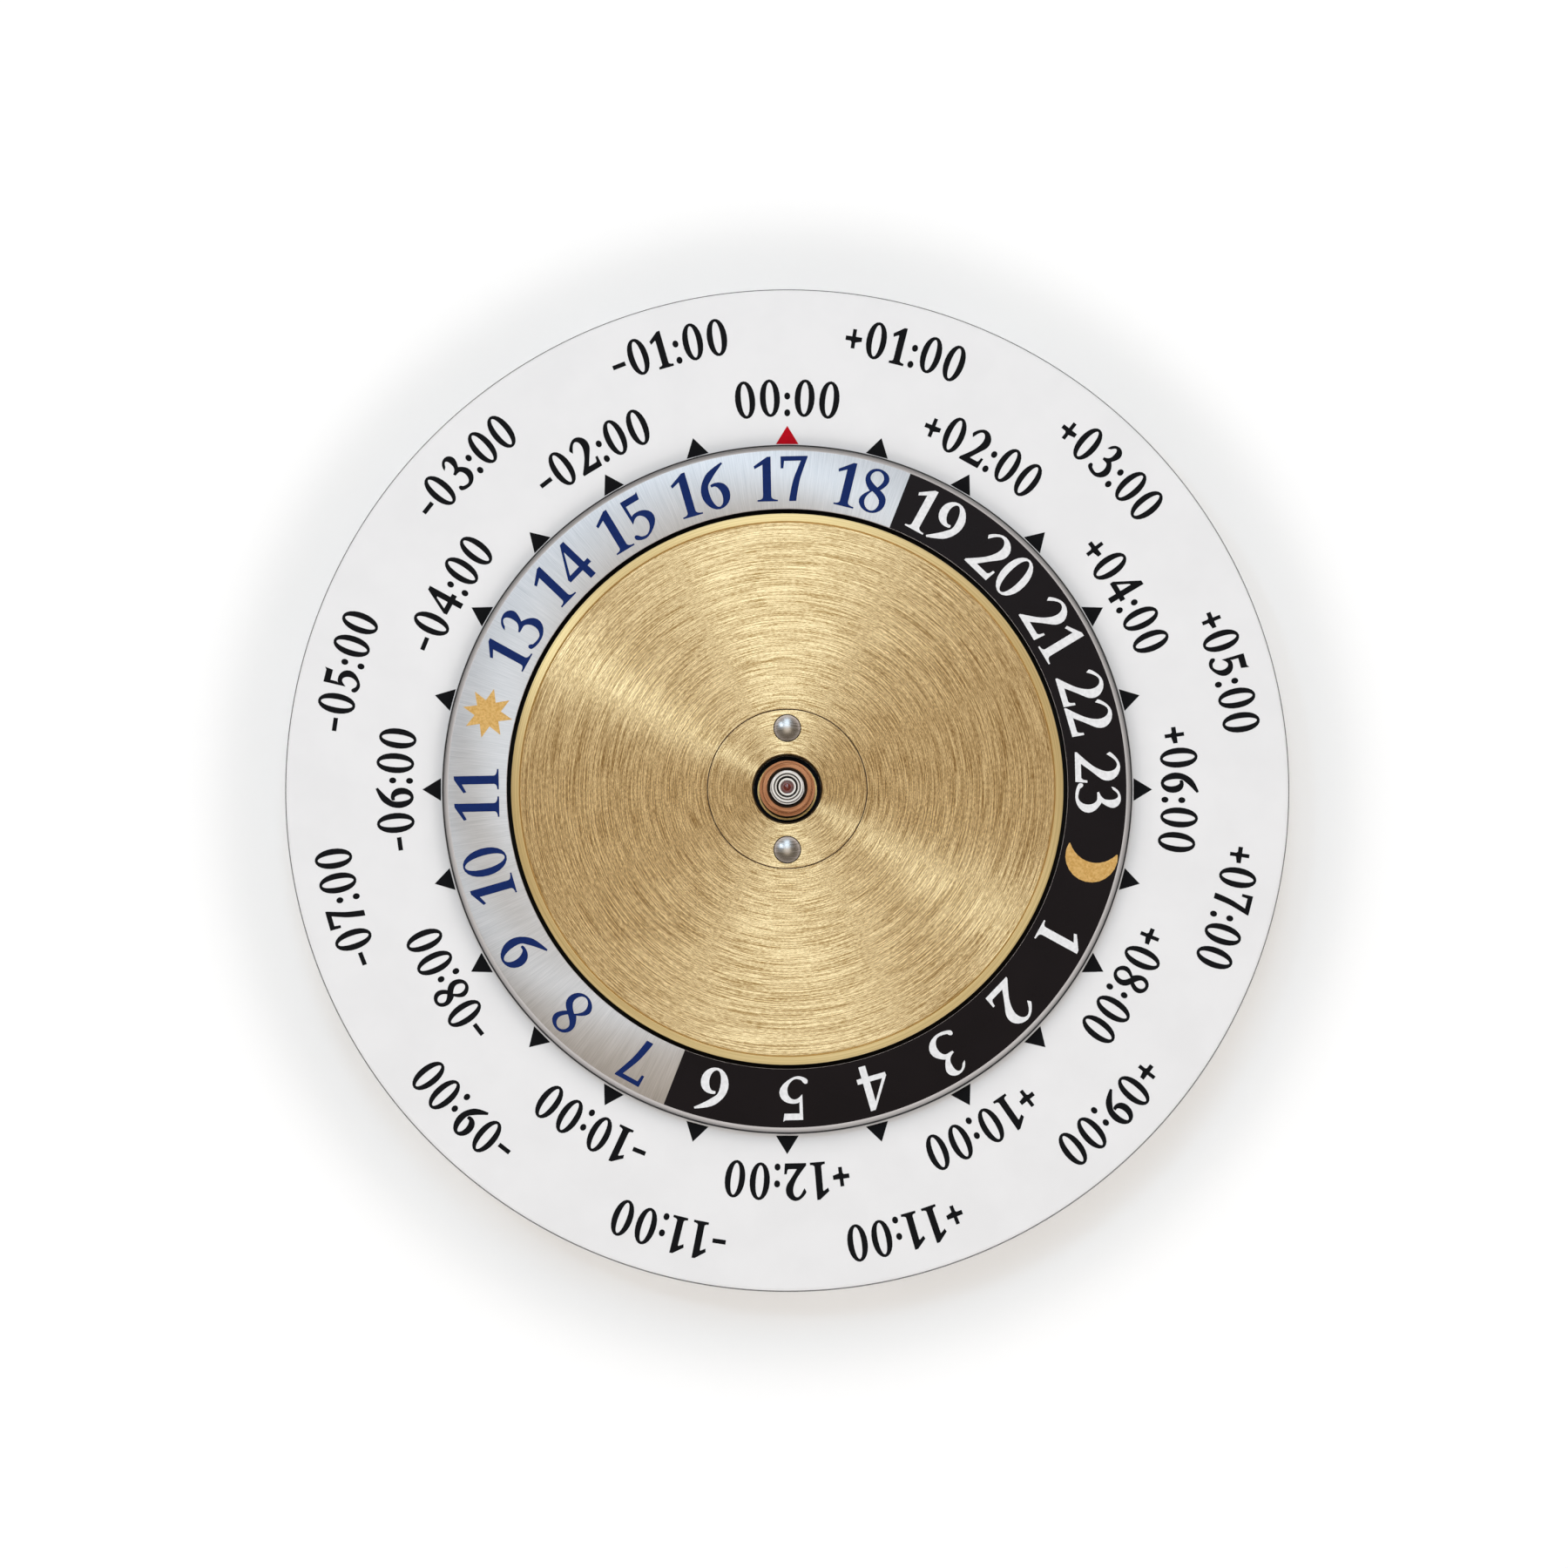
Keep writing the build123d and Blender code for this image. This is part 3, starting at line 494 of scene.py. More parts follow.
cannon_shape = turned([
    (cannon_bore, cannon_low.z),
    (cannon_shoulder, cannon_low.z),
    (cannon_shoulder, cannon_high.z - cannon_seat_height),
    (cannon_seat, cannon_high.z - cannon_seat_height),
    (cannon_seat, cannon_high.z - cannon_edge),
    (cannon_seat - cannon_edge, cannon_high.z),
    (cannon_bore, cannon_high.z),
], rounding=0.003 * mm)
leaves = toothed_disc(cannon_leaves, cannon_shoulder, leaf_tip, cannon_seat, cannon_low.z,
                      cannon_low.z + leaves_height, tooth_share=0.40)
cannon = shown("minute_pipe", join(cannon_shape, leaves), steel, fine_crease)
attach(cannon, "minute")
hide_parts("cannon_pinion")

# The hour wheel has a pipe of turned copper alloy that stands up round the cannon pinion and takes
# the hour hand on its seat. Its mouth is cut back to a cone, which is painted near black as shade, as its
# bore and the wall under its shoulder are.


def turned_copper():
    """Turned copper alloy with fine rings left by the tool."""
    finish, tree, shader = start_finish("turned copper alloy", {"Metallic": 1.0})
    marks = round_grain(tree, reach=1, pitch=0.050 * mm)
    link_finish(tree, shader, {
        "Base Color": colours(tree, marks, dark=(0.25, 0.10, 0.045), light=(0.47, 0.215, 0.11)),
        "Roughness": between(tree, marks, low=0.16, high=0.30),
        "Normal": relief(tree, marks, depth=0.0008 * mm),
    })
    return finish


def dull_skin(name, colour):
    """A dull, dark finish that paints shade onto metal, on a bore, a wall, an edge or a part seen through a
    gap.
    """
    finish, tree, shader = start_finish(name, {"Metallic": 0.6})
    film = noise(tree, size=0.1 * mm)
    link_finish(tree, shader, {
        "Base Color": colours(tree, film, dark=shade(colour, share=0.6), light=colour),
        "Roughness": between(tree, film, low=0.5, high=0.7),
    })
    return finish


def refinish(made, finish, *zones, walls_only=False):
    """Gives the faces of a piece between the two radii of a zone another finish, or the steep ones of
    them alone, where they still have its first finish."""
    made.data.materials.append(finish)
    added = len(made.data.materials) - 1
    for face in made.data.polygons:
        radius = math.hypot(face.center.x, face.center.y)
        inside = any(low < radius < high for low, high in zones)
        chosen = inside and (not walls_only or abs(face.normal.z) < wall_upward_share)
        if chosen and face.material_index == 0:
            face.material_index = added


copper = turned_copper()
hour_low, hour_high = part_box("hour_wheel")
pipe_bore = radii("hour_wheel")[0]
pipe_wall = 0.23 * mm
pipe_shoulder_width = 0.08 * mm
pipe_seat = pipe_bore + pipe_wall
pipe_shoulder = pipe_seat + pipe_shoulder_width
pipe_seat_height = 0.45 * mm
pipe_mouth = 0.08 * mm
pipe_edge = 0.03 * mm
hour_teeth = 40
hour_teeth_height = 0.35 * mm
tooth_height = 0.16 * mm
hour_tip = radii("hour_wheel")[1]
hour_disc = toothed_disc(hour_teeth, hour_tip - tooth_height, hour_tip, pipe_seat, hour_low.z,
                         hour_low.z + hour_teeth_height, tooth_share=0.42)
hour_shape = turned([
    (pipe_bore, hour_low.z),
    (pipe_shoulder, hour_low.z),
    (pipe_shoulder, hour_high.z - pipe_seat_height),
    (pipe_seat, hour_high.z - pipe_seat_height),
    (pipe_seat, hour_high.z - pipe_edge),
    (pipe_seat - pipe_edge, hour_high.z),
    (pipe_bore + pipe_mouth, hour_high.z),
    (pipe_bore, hour_high.z - pipe_mouth),
], rounding=0.008 * mm)
hour_pipe = shown("hour_pipe", join(hour_shape, hour_disc), copper, fine_crease)
painted_shade_brass = dull_skin("brass painted dark as shade", (0.045, 0.025, 0.012))
wall_margin = 0.005 * mm
wall_upward_share = 0.8
# Painted shade: the bore, the cone of the mouth and the wall under the shoulder are painted near black.
refinish(hour_pipe, painted_shade_brass, (pipe_bore - wall_margin, pipe_bore + pipe_mouth),
         (pipe_shoulder - wall_margin, pipe_shoulder + wall_margin), walls_only=True)
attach(hour_pipe, "hour")
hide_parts("hour_wheel")

# The springs are cut from strip steel: the washer under the setting pinion and the jumper that holds
# the disc at each of its places are ground bright, and the dished washer over the hour wheel is painted
# near black as the shade in the gap round the hour pipe.


def ground_spring():
    """Spring steel, ground along its length."""
    finish, tree, shader = start_finish("ground spring steel", {"Metallic": 1.0})
    grain = noise(tree, size=0.04 * mm)
    link_finish(tree, shader, {
        "Base Color": colours(tree, grain, dark=(0.40, 0.40, 0.42), light=(0.52, 0.52, 0.54)),
        "Roughness": between(tree, grain, low=0.22, high=0.36),
        "Normal": relief(tree, grain, depth=0.001 * mm),
    })
    return finish


spring = ground_spring()
for spring_piece in ("setting_washer", "city_jumper"):
    dress(spring_piece, spring)
# Painted shade: the dished washer is painted near black.
dress("dial_washer", dull_skin("steel painted dark as shade", (0.012, 0.012, 0.020)))

# The bridge is plated as the base plate is, and blasted. It stands on three pillars over the train
# and carries the hub.
dress("centre_bridge", blasted)

# The hub sits on the bridge and carries the centre plate on its flange. Both are brass, brushed
# together on the lathe, so that their grain runs round the middle and only a hairline parts them.
fine_round_steps = 512
hub_low, hub_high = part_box("dial_hub")
hub_bore, hub_flange = radii("dial_hub")
hub_radius, plate_radius = radii("centre_plate")
hub_edge = 0.05 * mm
seam_edge = 0.022 * mm
flange_height = 0.15 * mm


def mixed(tree, first, second, share):
    """Two noises added, with share of the second."""
    part = add_node(tree, "Math", {0: first, 1: 1 - share}, operation="MULTIPLY").outputs["Value"]
    return add_node(tree, "Math", {0: second, 1: share, 2: part}, operation="MULTIPLY_ADD").outputs["Value"]


def world_direction(tree, direction):
    """A direction on the piece, turned to the world's, for the shader's tangent."""
    return add_node(tree, "VectorTransform", {"Vector": direction}, vector_type="VECTOR",
                    convert_from="OBJECT", convert_to="WORLD").outputs["Vector"]


def brushed_brass():
    """Brass brushed round the middle of the dial, with short scratches and longer lines."""
    finish, tree, shader = start_finish("brushed brass", {"Metallic": 1.0, "Anisotropic": 0.97})
    scratches = round_grain(tree, reach=50, pitch=0.024 * mm, detail=1.0)
    lines = round_grain(tree, reach=4.5, pitch=0.018 * mm, detail=2.0)
    grain = mixed(tree, scratches, lines, share=0.65)
    link_finish(tree, shader, {
        "Base Color": colours(tree, grain, dark=(0.27, 0.145, 0.040), light=(0.89, 0.67, 0.372),
                              spread=0.13),
        "Roughness": between(tree, grain, low=0.23, high=0.27),
        "Normal": relief(tree, lines, depth=0.0006 * mm),
        "Tangent": world_direction(tree, outward(tree)),
    })
    return finish


brass = brushed_brass()
pins_low, pins_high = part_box("hub_pins")
pin_head_radius = 0.40 * mm
pin_seat_gap = 0.03 * mm
pin_seat_depth = 0.06 * mm
pin_seat_steps = 64
pin_place = pins_high.y - pin_head_radius
hub_shape = turned([
    (hub_bore, hub_low.z),
    (hub_flange, hub_low.z),
    (hub_flange, hub_low.z + flange_height),
    (hub_radius, hub_low.z + flange_height),
    (hub_radius, hub_high.z - seam_edge),
    (hub_radius - seam_edge, hub_high.z),
    (hub_bore + hub_edge, hub_high.z),
    (hub_bore, hub_high.z - hub_edge),
], rounding=0.008 * mm, steps=fine_round_steps)
hub = shown("brushed_hub", hub_shape, brass, fine_crease)
seats_shape = bmesh.new()
for side in (-1, 1):
    bmesh.ops.create_cone(seats_shape, cap_ends=True, segments=pin_seat_steps, depth=2 * pin_seat_depth,
                          radius1=pin_head_radius + pin_seat_gap, radius2=pin_head_radius + pin_seat_gap,
                          matrix=Matrix.Translation((0, side * pin_place, hub_high.z)))


def cut(made, tool, crease):
    """Cuts a tool's shape out of a piece, where the cut faces take the tool's finish."""
    cutting = made.modifiers.new("cut", "BOOLEAN")
    cutting.object = tool
    cutting.operation = "DIFFERENCE"
    cutting.solver = "EXACT"
    cutting.material_mode = "TRANSFER"
    bpy.context.view_layer.update()
    left_over = made.evaluated_get(bpy.context.evaluated_depsgraph_get())
    made.data = bpy.data.meshes.new_from_object(left_over)
    made.modifiers.clear()
    bpy.data.objects.remove(tool)
    shape = bmesh.new()
    shape.from_mesh(made.data)
    close_shape(shape, crease)
    shape.to_mesh(made.data)
    shape.free()


# Painted shade: the walls of the pin seats, of the hub's bore and of its edge at the seam are painted near
# black.
cut(hub, shown("pin_seats", seats_shape, painted_shade_brass, coarse_crease), fine_crease)
refinish(hub, painted_shade_brass, (hub_bore - wall_margin, hub_bore + wall_margin),
         (hub_radius - seam_edge, hub_radius), walls_only=True)
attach(hub, "root")
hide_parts("dial_hub")

# The centre plate rests on the hub's flange and reaches down at its edge in a skirt. Its face is
# brushed, and the groove and the sloped rim round it are turned smooth.
plate_low, plate_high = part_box("centre_plate")
rim_width = 0.24 * mm
rim_slope = 0.026 * mm
groove_width = 0.05 * mm
groove_depth = 0.05 * mm
skirt_inner = 7.854 * mm
rim_start = plate_radius - rim_width
groove_start = rim_start - groove_width


def turned_brass():
    """Brass turned smooth, with faint marks round the middle of the dial."""
    finish, tree, shader = start_finish("turned brass", {"Metallic": 1.0, "Anisotropic": 0.90})
    marks = round_grain(tree, reach=1, pitch=0.040 * mm)
    link_finish(tree, shader, {
        "Base Color": colours(tree, marks, dark=(0.62, 0.44, 0.19), light=(0.82, 0.61, 0.30)),
        "Roughness": between(tree, marks, low=0.34, high=0.38),
        "Tangent": world_direction(tree, outward(tree)),
    })
    return finish


plate = shown("brushed_plate", turned([
    (hub_radius, hub_low.z + flange_height),
    (skirt_inner, hub_low.z + flange_height),
    (skirt_inner, plate_low.z),
    (plate_radius, plate_low.z),
    (plate_radius, plate_high.z - rim_slope),
    (rim_start, plate_high.z),
    ((rim_start + groove_start) / 2, plate_high.z - groove_depth),
    (groove_start, plate_high.z),
    (hub_radius + seam_edge, plate_high.z),
    (hub_radius, plate_high.z - seam_edge),
], rounding=0.008 * mm, steps=fine_round_steps), brass, fine_crease)
# Painted shade: the plate's edge at the seam and its outer wall are painted near black, as the shade in the
# seam and in the gap to the ring.
refinish(plate, painted_shade_brass, (hub_radius, hub_radius + seam_edge),
         (plate_radius - wall_margin, plate_radius + wall_margin), walls_only=True)
refinish(plate, turned_brass(), (groove_start, plate_radius))
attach(plate, "root")
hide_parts("centre_plate")

# Two polished steel pins hold the hub on the bridge. Their domed heads sit in round seats, whose walls
# are painted dark as the shade of the hairline gap round each.
pins_shape = bmesh.new()
for side in (-1, 1):
    pin_profile = domed_profile(pin_head_radius, pins_low.z, hub_high.z, pins_high.z)
    join(pins_shape, turned(pin_profile, steps=small_round_steps, place=(0, side * pin_place)))
pin_steel = polished("domed pin steel", (0.55, 0.49, 0.45), roughness=0.20)
pins = shown("domed_pins", pins_shape, pin_steel, fine_crease)
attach(pins, "root")
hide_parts("hub_pins")

# The white disc is plated brass with a softened edge. Its face is lacquered white and rubbed to a
# satin sheen, and the turn of its edge is painted grey as the shade where it rolls away from the light.
disc_round_steps = 720
disc_inner, disc_radius = radii("city_disc")
disc_edge = 0.07 * mm
edge_shade_width = 0.05 * mm


def satin_lacquer(name, dark, light, roughness, gloss, uneven=1.25):
    """Lacquer with a faint orange-peel skin."""
    finish, tree, shader = start_finish(name, {"Specular IOR Level": gloss})
    mottle = noise(tree, size=1.5 * mm)
    skin = noise(tree, size=0.25 * mm)
    link_finish(tree, shader, {
        "Base Color": colours(tree, mottle, dark, light),
        "Roughness": between(tree, mottle, low=roughness, high=uneven * roughness),
        "Normal": relief(tree, skin, depth=0.0015 * mm),
    })
    return finish


white = satin_lacquer("white lacquer", dark=(0.755, 0.750, 0.755), light=(0.780, 0.775, 0.780),
                      roughness=0.32, gloss=0.35)
disc = shown("white_disc", turned([
    (disc_inner, disc_low.z),
    (disc_radius - disc_edge, disc_low.z),
    (disc_radius, disc_low.z + disc_edge),
    (disc_radius, disc_high.z - disc_edge),
    (disc_radius - disc_edge, disc_high.z),
    (disc_inner, disc_high.z),
], rounding=0.05 * mm, steps=disc_round_steps), white, fine_crease)
# Painted shade: a grey band round the turn of the disc's edge.
refinish(disc, dull_skin("edge painted grey as shade", (0.24, 0.24, 0.24)), (disc_radius - edge_shade_width, disc_radius))
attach(disc, "city")
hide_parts("city_disc")

# The 24 hour ring is silver-coloured alloy: its face is brushed in rays from the middle, and its outer
# edge is cut to a polished bevel over a foot, which is painted dark as the shadow line under the ring, as
# its inner wall and edge are. The day wheel that carries it is brass painted near black.
ring_low, ring_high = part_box("day_night_ring")
ring_inner, ring_outer = radii("day_night_ring")
bevel_width = 0.19 * mm
bevel_height = 0.105 * mm
bevel_foot = 0.05 * mm
bevel_foot_height = 0.055 * mm
ring_edge = 0.012 * mm


def ray_brushed_silver():
    """Silvered metal brushed in rays."""
    finish, tree, shader = start_finish("ray brushed silver", {"Metallic": 1.0, "Anisotropic": 0.90})
    rays = round_grain(tree, reach=600, pitch=0.9 * mm)
    clouds = round_grain(tree, reach=60, pitch=0.9 * mm)
    grain = mixed(tree, rays, clouds, share=0.25)
    sideways = add_node(tree, "VectorMath", {0: outward(tree), 1: (0, 0, 1)},
                        operation="CROSS_PRODUCT").outputs["Vector"]
    link_finish(tree, shader, {
        "Base Color": colours(tree, grain, dark=(0.53, 0.490, 0.470), light=(0.67, 0.622, 0.600)),
        "Roughness": between(tree, grain, low=0.32, high=0.40),
        "Normal": relief(tree, grain, depth=0.0006 * mm),
        "Tangent": world_direction(tree, sideways),
    })
    return finish


silver = ray_brushed_silver()
ring = shown("hour_ring", turned([
    (ring_inner, ring_low.z),
    (ring_outer, ring_low.z),
    (ring_outer, ring_high.z - bevel_height - bevel_foot_height),
    (ring_outer - bevel_foot, ring_high.z - bevel_height),
    (ring_outer - bevel_width, ring_high.z),
    (ring_inner + ring_edge, ring_high.z),
    (ring_inner, ring_high.z - ring_edge),
], rounding=0.010 * mm, steps=fine_round_steps), silver, fine_crease)
# Painted shade: the inner wall with its edge and the foot of the bevel are painted near black.
refinish(ring, dull_skin("silver painted dark as shade", (0.03, 0.03, 0.032)),
         (ring_inner - wall_margin, ring_inner + ring_edge),
         (ring_outer - bevel_foot, ring_outer - wall_margin), walls_only=True)
refinish(ring, polished("polished silver", (0.42, 0.405, 0.40), roughness=0.25),
         (ring_outer - bevel_width, ring_outer))
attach(ring, "day_ring")
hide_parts("day_night_ring")
# Painted shade: the day wheel is painted near black, as the shade in the gap between the ring and the
# centre plate.
dress("day_wheel", dull_skin("brass painted black as shade", (0.030, 0.022, 0.016)))

# Half of the ring's face, from 18:24 to 6:24, is lacquered black for the night. The lacquer is a thin
# even coat over the brushed silver, masked so that its ends are sharp. Here and below an azimuth is
# in degrees, clockwise from the top of the dial.
night_azimuth = 21.35
lacquer_thickness = 0.008 * mm
night_inner = ring_inner + ring_edge
night_outer = ring_outer - bevel_width


def night_half():
    """A thin half ring of lacquer, sloped by its thickness at both edges."""
    shape = bmesh.new()
    section = [shape.verts.new((radius, 0, height)) for radius, height in (
        (night_inner, ring_high.z),
        (night_outer, ring_high.z),
        (night_outer - lacquer_thickness, ring_high.z + lacquer_thickness),
        (night_inner + lacquer_thickness, ring_high.z + lacquer_thickness),
    )]
    edges = [shape.edges.new(pair) for pair in zip(section[-1:] + section, section)]
    bmesh.ops.spin(shape, geom=section + edges, axis=(0, 0, 1), cent=(0, 0, 0), angle=math.pi,
                   steps=round_steps, use_merge=False)
    ends = [edge for edge in shape.edges if edge.is_boundary]
    bmesh.ops.holes_fill(shape, edges=ends, sides=len(section))
    bmesh.ops.rotate(shape, verts=shape.verts, cent=(0, 0, 0),
                     matrix=Matrix.Rotation(math.radians(-90 - night_azimuth), 3, "Z"))
    return shape


black = satin_lacquer("black lacquer", dark=(0.004, 0.0015, 0.002), light=(0.006, 0.003, 0.0035),
                      roughness=0.25, gloss=0.11)
night = shown("night_lacquer", night_half(), black, fine_crease)
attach(night, "day_ring")

# The figures of the 24 hours are printed in serif numerals, navy blue on the silver half and white
# on the black half, with their feet to the middle. Noon and midnight have no figure. Gaps are in the
# units that the figures are drawn in.
ink_thickness = 0.006 * mm
ink_sunk_share = 0.2
ink_lift = (1 / 2 - ink_sunk_share) * ink_thickness
glyph_units = 100
# Each sign has its width and its outlines, in units. A point of an outline is a corner (x, y), a smooth
# point (x, y, handle x, handle y), or has two handles (x, y, back x, back y, forward x, forward y).
glyphs = {
    "0": (62, [[(31, 100, 17, 0), (62, 50, 0, -29), (31, 0, -17, 0), (0, 50, 0, 29)],
               [(31, 95.5, 8.5, 0), (46, 50, 0, -27), (31, 4.5, -8.5, 0), (16, 50, 0, 27)]]),
    "1": (53.5, [[(1, 79), (31, 99.5), (39, 100), (39, 12, 0, 0, 0, -6), (53.5, 3.5, -8, 0.5, 0, 0),
                  (53.5, 0), (8, 0), (8, 3.5, 0, 0, 8, 0.5), (20.5, 12, 0, -6, 0, 0), (20.5, 82),
                  (3, 72.5)]]),
    "2": (68, [[(5.5, 70), (1, 77, -1, 2), (34, 100, 17, 0), (64.5, 73, 0, -13), (49, 43, -9, -11),
                (26, 13), (57, 13), (61, 17, 1, 2), (63.5, 26.5), (68.5, 26.5), (66, 0), (0, 0), (0, 4),
                (30, 38, 7, 10), (44, 73, 0, 11), (29, 93, -9, 0), (12, 80)]]),
    "3": (66, [[(9, 79.4), (14, 90, 4, 5), (36, 100, 11, 0), (56.4, 81.5, 0, -10), (44, 57),
                (66, 28, 0, -17), (31, -1, -17, 0), (0, 9.5, 0, 4), (4, 17, 4, 1), (12, 10),
                (31, 5.5, 9, 0), (48, 28, 0, 12), (35, 47.7, -6, 0), (21.4, 47.7), (20, 52),
                (33, 59, 5, 5), (38.5, 78, 0, 9), (29, 94, -6, 0), (16.5, 83.5)]]),
    "4": (66, [[(43.4, 99.6), (54.5, 100), (54.5, 36), (66, 36), (66, 24.4), (54.5, 24.4), (54.5, -1),
                (39, -1), (39, 24.4), (1, 24.4), (0, 32)],
               [(38.5, 36), (38.5, 82), (10.5, 36)]]),
    "5": (63, [[(11.6, 96.3), (50.8, 96.3), (55.8, 99.6), (52.9, 81.8), (19, 81.8), (19, 56),
                (33, 60, 13, 0), (63.2, 34.3, 0, -18), (22, -1, -11, 0), (0, 9.5, 0, 4), (4, 16.5, 4, 1),
                (13.6, 8.7), (26, 5.4, 8, 0), (45.5, 30, 0, 12), (30, 50.8, -8, 0), (15.7, 42.6),
                (12.4, 39.3)]]),
    "6": (63, [[(62, 99), (64, 95.5), (31, 68, -8, -9), (18, 40, 0, -20), (32, 4.5, 7, 0),
                (45, 27, 0, 13), (33, 51, -4, 0), (26, 50.5), (25, 54), (37, 58.5, 14, 0),
                (63, 31, 0, -17), (32, -1, -18, 0), (0, 38, 0, 18), (20, 80, 10, 10)]]),
    "7": (60.4, [[(0, 100), (60.4, 100), (60.4, 97), (43, 50, -5, -16), (33, 0), (17.5, 0), (17.5, 3),
                  (29, 52, 6, 15), (45, 89.6), (8, 89.6), (6, 73), (0, 73)]]),
    "8": (59, [[(28.6, 100, 15, 0), (56, 78.8, 0, -12), (41, 54), (59.2, 29.8, 0, -17),
                (29.4, 0, -16, 0), (0, 23.7, 0, 12), (18.4, 48), (2.9, 74.7, 0, 14)],
               [(28.6, 94.3, 8, 0), (43.7, 78, 0, -9), (33.5, 59), (13.5, 78, 0, 9)],
               [(24.5, 48), (45, 26, 0, -12), (29.4, 5.3, -9, 0), (12.2, 25.7, 0, 11)]]),
    "+": (50, [[(20.5, 70), (29.5, 70), (29.5, 49.5), (50, 49.5), (50, 40.5), (29.5, 40.5),
                (29.5, 20), (20.5, 20), (20.5, 40.5), (0, 40.5), (0, 49.5), (20.5, 49.5)]]),
    "-": (40, [[(0, 49.5), (40, 49.5), (40, 40.5), (0, 40.5)]]),
    ":": (16, [[(8, 17, 4.5, 0), (16, 9, 0, -4.5), (8, 1, -4.5, 0), (0, 9, 0, 4.5)],
               [(8, 63, 4.5, 0), (16, 55, 0, -4.5), (8, 47, -4.5, 0), (0, 55, 0, 4.5)]]),
}
six_width, six_outlines = glyphs["6"]
six_height = 99
glyphs["9"] = (six_width, [[(six_width - x, six_height - y, *(-handle for handle in handles))
                            for x, y, *handles in outline] for outline in six_outlines])
curve_steps = 6


def printed_shape(outlines, units_per_metre, boldness=0):
    """The thin flat mesh of a glyph or sign, from its outlines in units, with its hollows open and its
    strokes widened by boldness units on both sides."""
    curve = bpy.data.curves.new("print", "CURVE")
    curve.dimensions = "2D"
    curve.fill_mode = "BOTH"
    curve.resolution_u = curve_steps
    curve.extrude = ink_thickness * units_per_metre / 2
    curve.offset = boldness
    for outline in outlines:
        spline = curve.splines.new("BEZIER")
        spline.bezier_points.add(len(outline) - 1)
        spline.use_cyclic_u = True
        for point, (x, y, *handles) in zip(spline.bezier_points, outline):
            back_x, back_y, forward_x, forward_y = (
                handles if len(handles) == 4 else
                (-handles[0], -handles[1], handles[0], handles[1]) if handles else (0, 0, 0, 0))
            point.handle_left_type = "FREE"
            point.handle_right_type = "FREE"
            point.co = (x, y, 0)
            point.handle_left = (x + back_x, y + back_y, 0)
            point.handle_right = (x + forward_x, y + forward_y, 0)
    holder = bpy.data.objects.new("print", curve)
    mesh = bpy.data.meshes.new_from_object(holder)
    bpy.data.objects.remove(holder)
    return mesh


def stamp(shape, mesh, azimuth, radius, height, across, up, start=0):
    """Adds a copy of a sign's mesh to a shape, with its foot at a radius and a height, its left edge start
    metres along the line that is square to the azimuth, and across and up metres to the unit."""
    before = len(shape.verts)
    shape.from_mesh(mesh)
    shape.verts.ensure_lookup_table()
    placed = (Matrix.Rotation(math.radians(-azimuth), 4, "Z") @ Matrix.Translation((start, radius, height))
              @ Matrix.Diagonal((across, up, up, 1)))
    bmesh.ops.transform(shape, matrix=placed, verts=shape.verts[before:])


numeral_height = 1.39 * mm
numeral_radius = 8.89 * mm
numeral_gap = 7.5
close_gap = 1
close_figures = ("22", "23")
numeral_unit = numeral_height / glyph_units
numeral_meshes = {sign: printed_shape(outlines, 1 / numeral_unit)
                  for sign, (_, outlines) in glyphs.items()}
day_hours = 24
noon_hour = 12
top_hour = 17
hour_step = 360 / day_hours
hour_shift = -1.2
face_height = ring_high.z + ink_lift
night_height = face_height + lacquer_thickness


def ink(name, colour, roughness=0.45, uneven=1.3):
    """Printing ink, a little uneven in its film."""
    finish, tree, shader = start_finish(name, {"Specular IOR Level": 0.05})
    film = noise(tree, size=0.12 * mm)
    link_finish(tree, shader, {
        "Base Color": colours(tree, film, dark=shade(colour, share=0.86), light=colour),
        "Roughness": between(tree, film, low=roughness, high=uneven * roughness),
        "Normal": relief(tree, film, depth=0.0012 * mm),
    })
    return finish


def is_night(azimuth):
    """Whether a place on the ring lies in its black half."""
    return 0 < (azimuth - night_azimuth) % 360 < 180


def hour_azimuth(hour):
    """The azimuth of an hour on the ring, clockwise from the top of the dial."""
    return (hour - top_hour) % day_hours * hour_step + hour_shift


day_numerals = bmesh.new()
night_numerals = bmesh.new()
for place in range(day_hours):
    hour = (top_hour + place) % day_hours
    if hour in (0, noon_hour):
        continue
    azimuth = hour_azimuth(hour)
    print_on, level = (night_numerals, night_height) if is_night(azimuth) else (day_numerals, face_height)
    figures = str(hour)
    gap = close_gap if figures in close_figures else numeral_gap
    width = sum(glyphs[figure][0] for figure in figures) + gap * (len(figures) - 1)
    start = -width / 2
    for figure in figures:
        stamp(print_on, numeral_meshes[figure], azimuth, numeral_radius, level,
              across=numeral_unit, up=numeral_unit, start=start * numeral_unit)
        start += glyphs[figure][0] + gap

navy_ink = ink("navy ink", (0.008, 0.022, 0.115))
white_ink = ink("white ink", (0.80, 0.80, 0.81))
day_print = shown("day_numerals", day_numerals, navy_ink, coarse_crease)
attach(day_print, "day_ring")
night_print = shown("night_numerals", night_numerals, white_ink, coarse_crease)
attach(night_print, "day_ring")

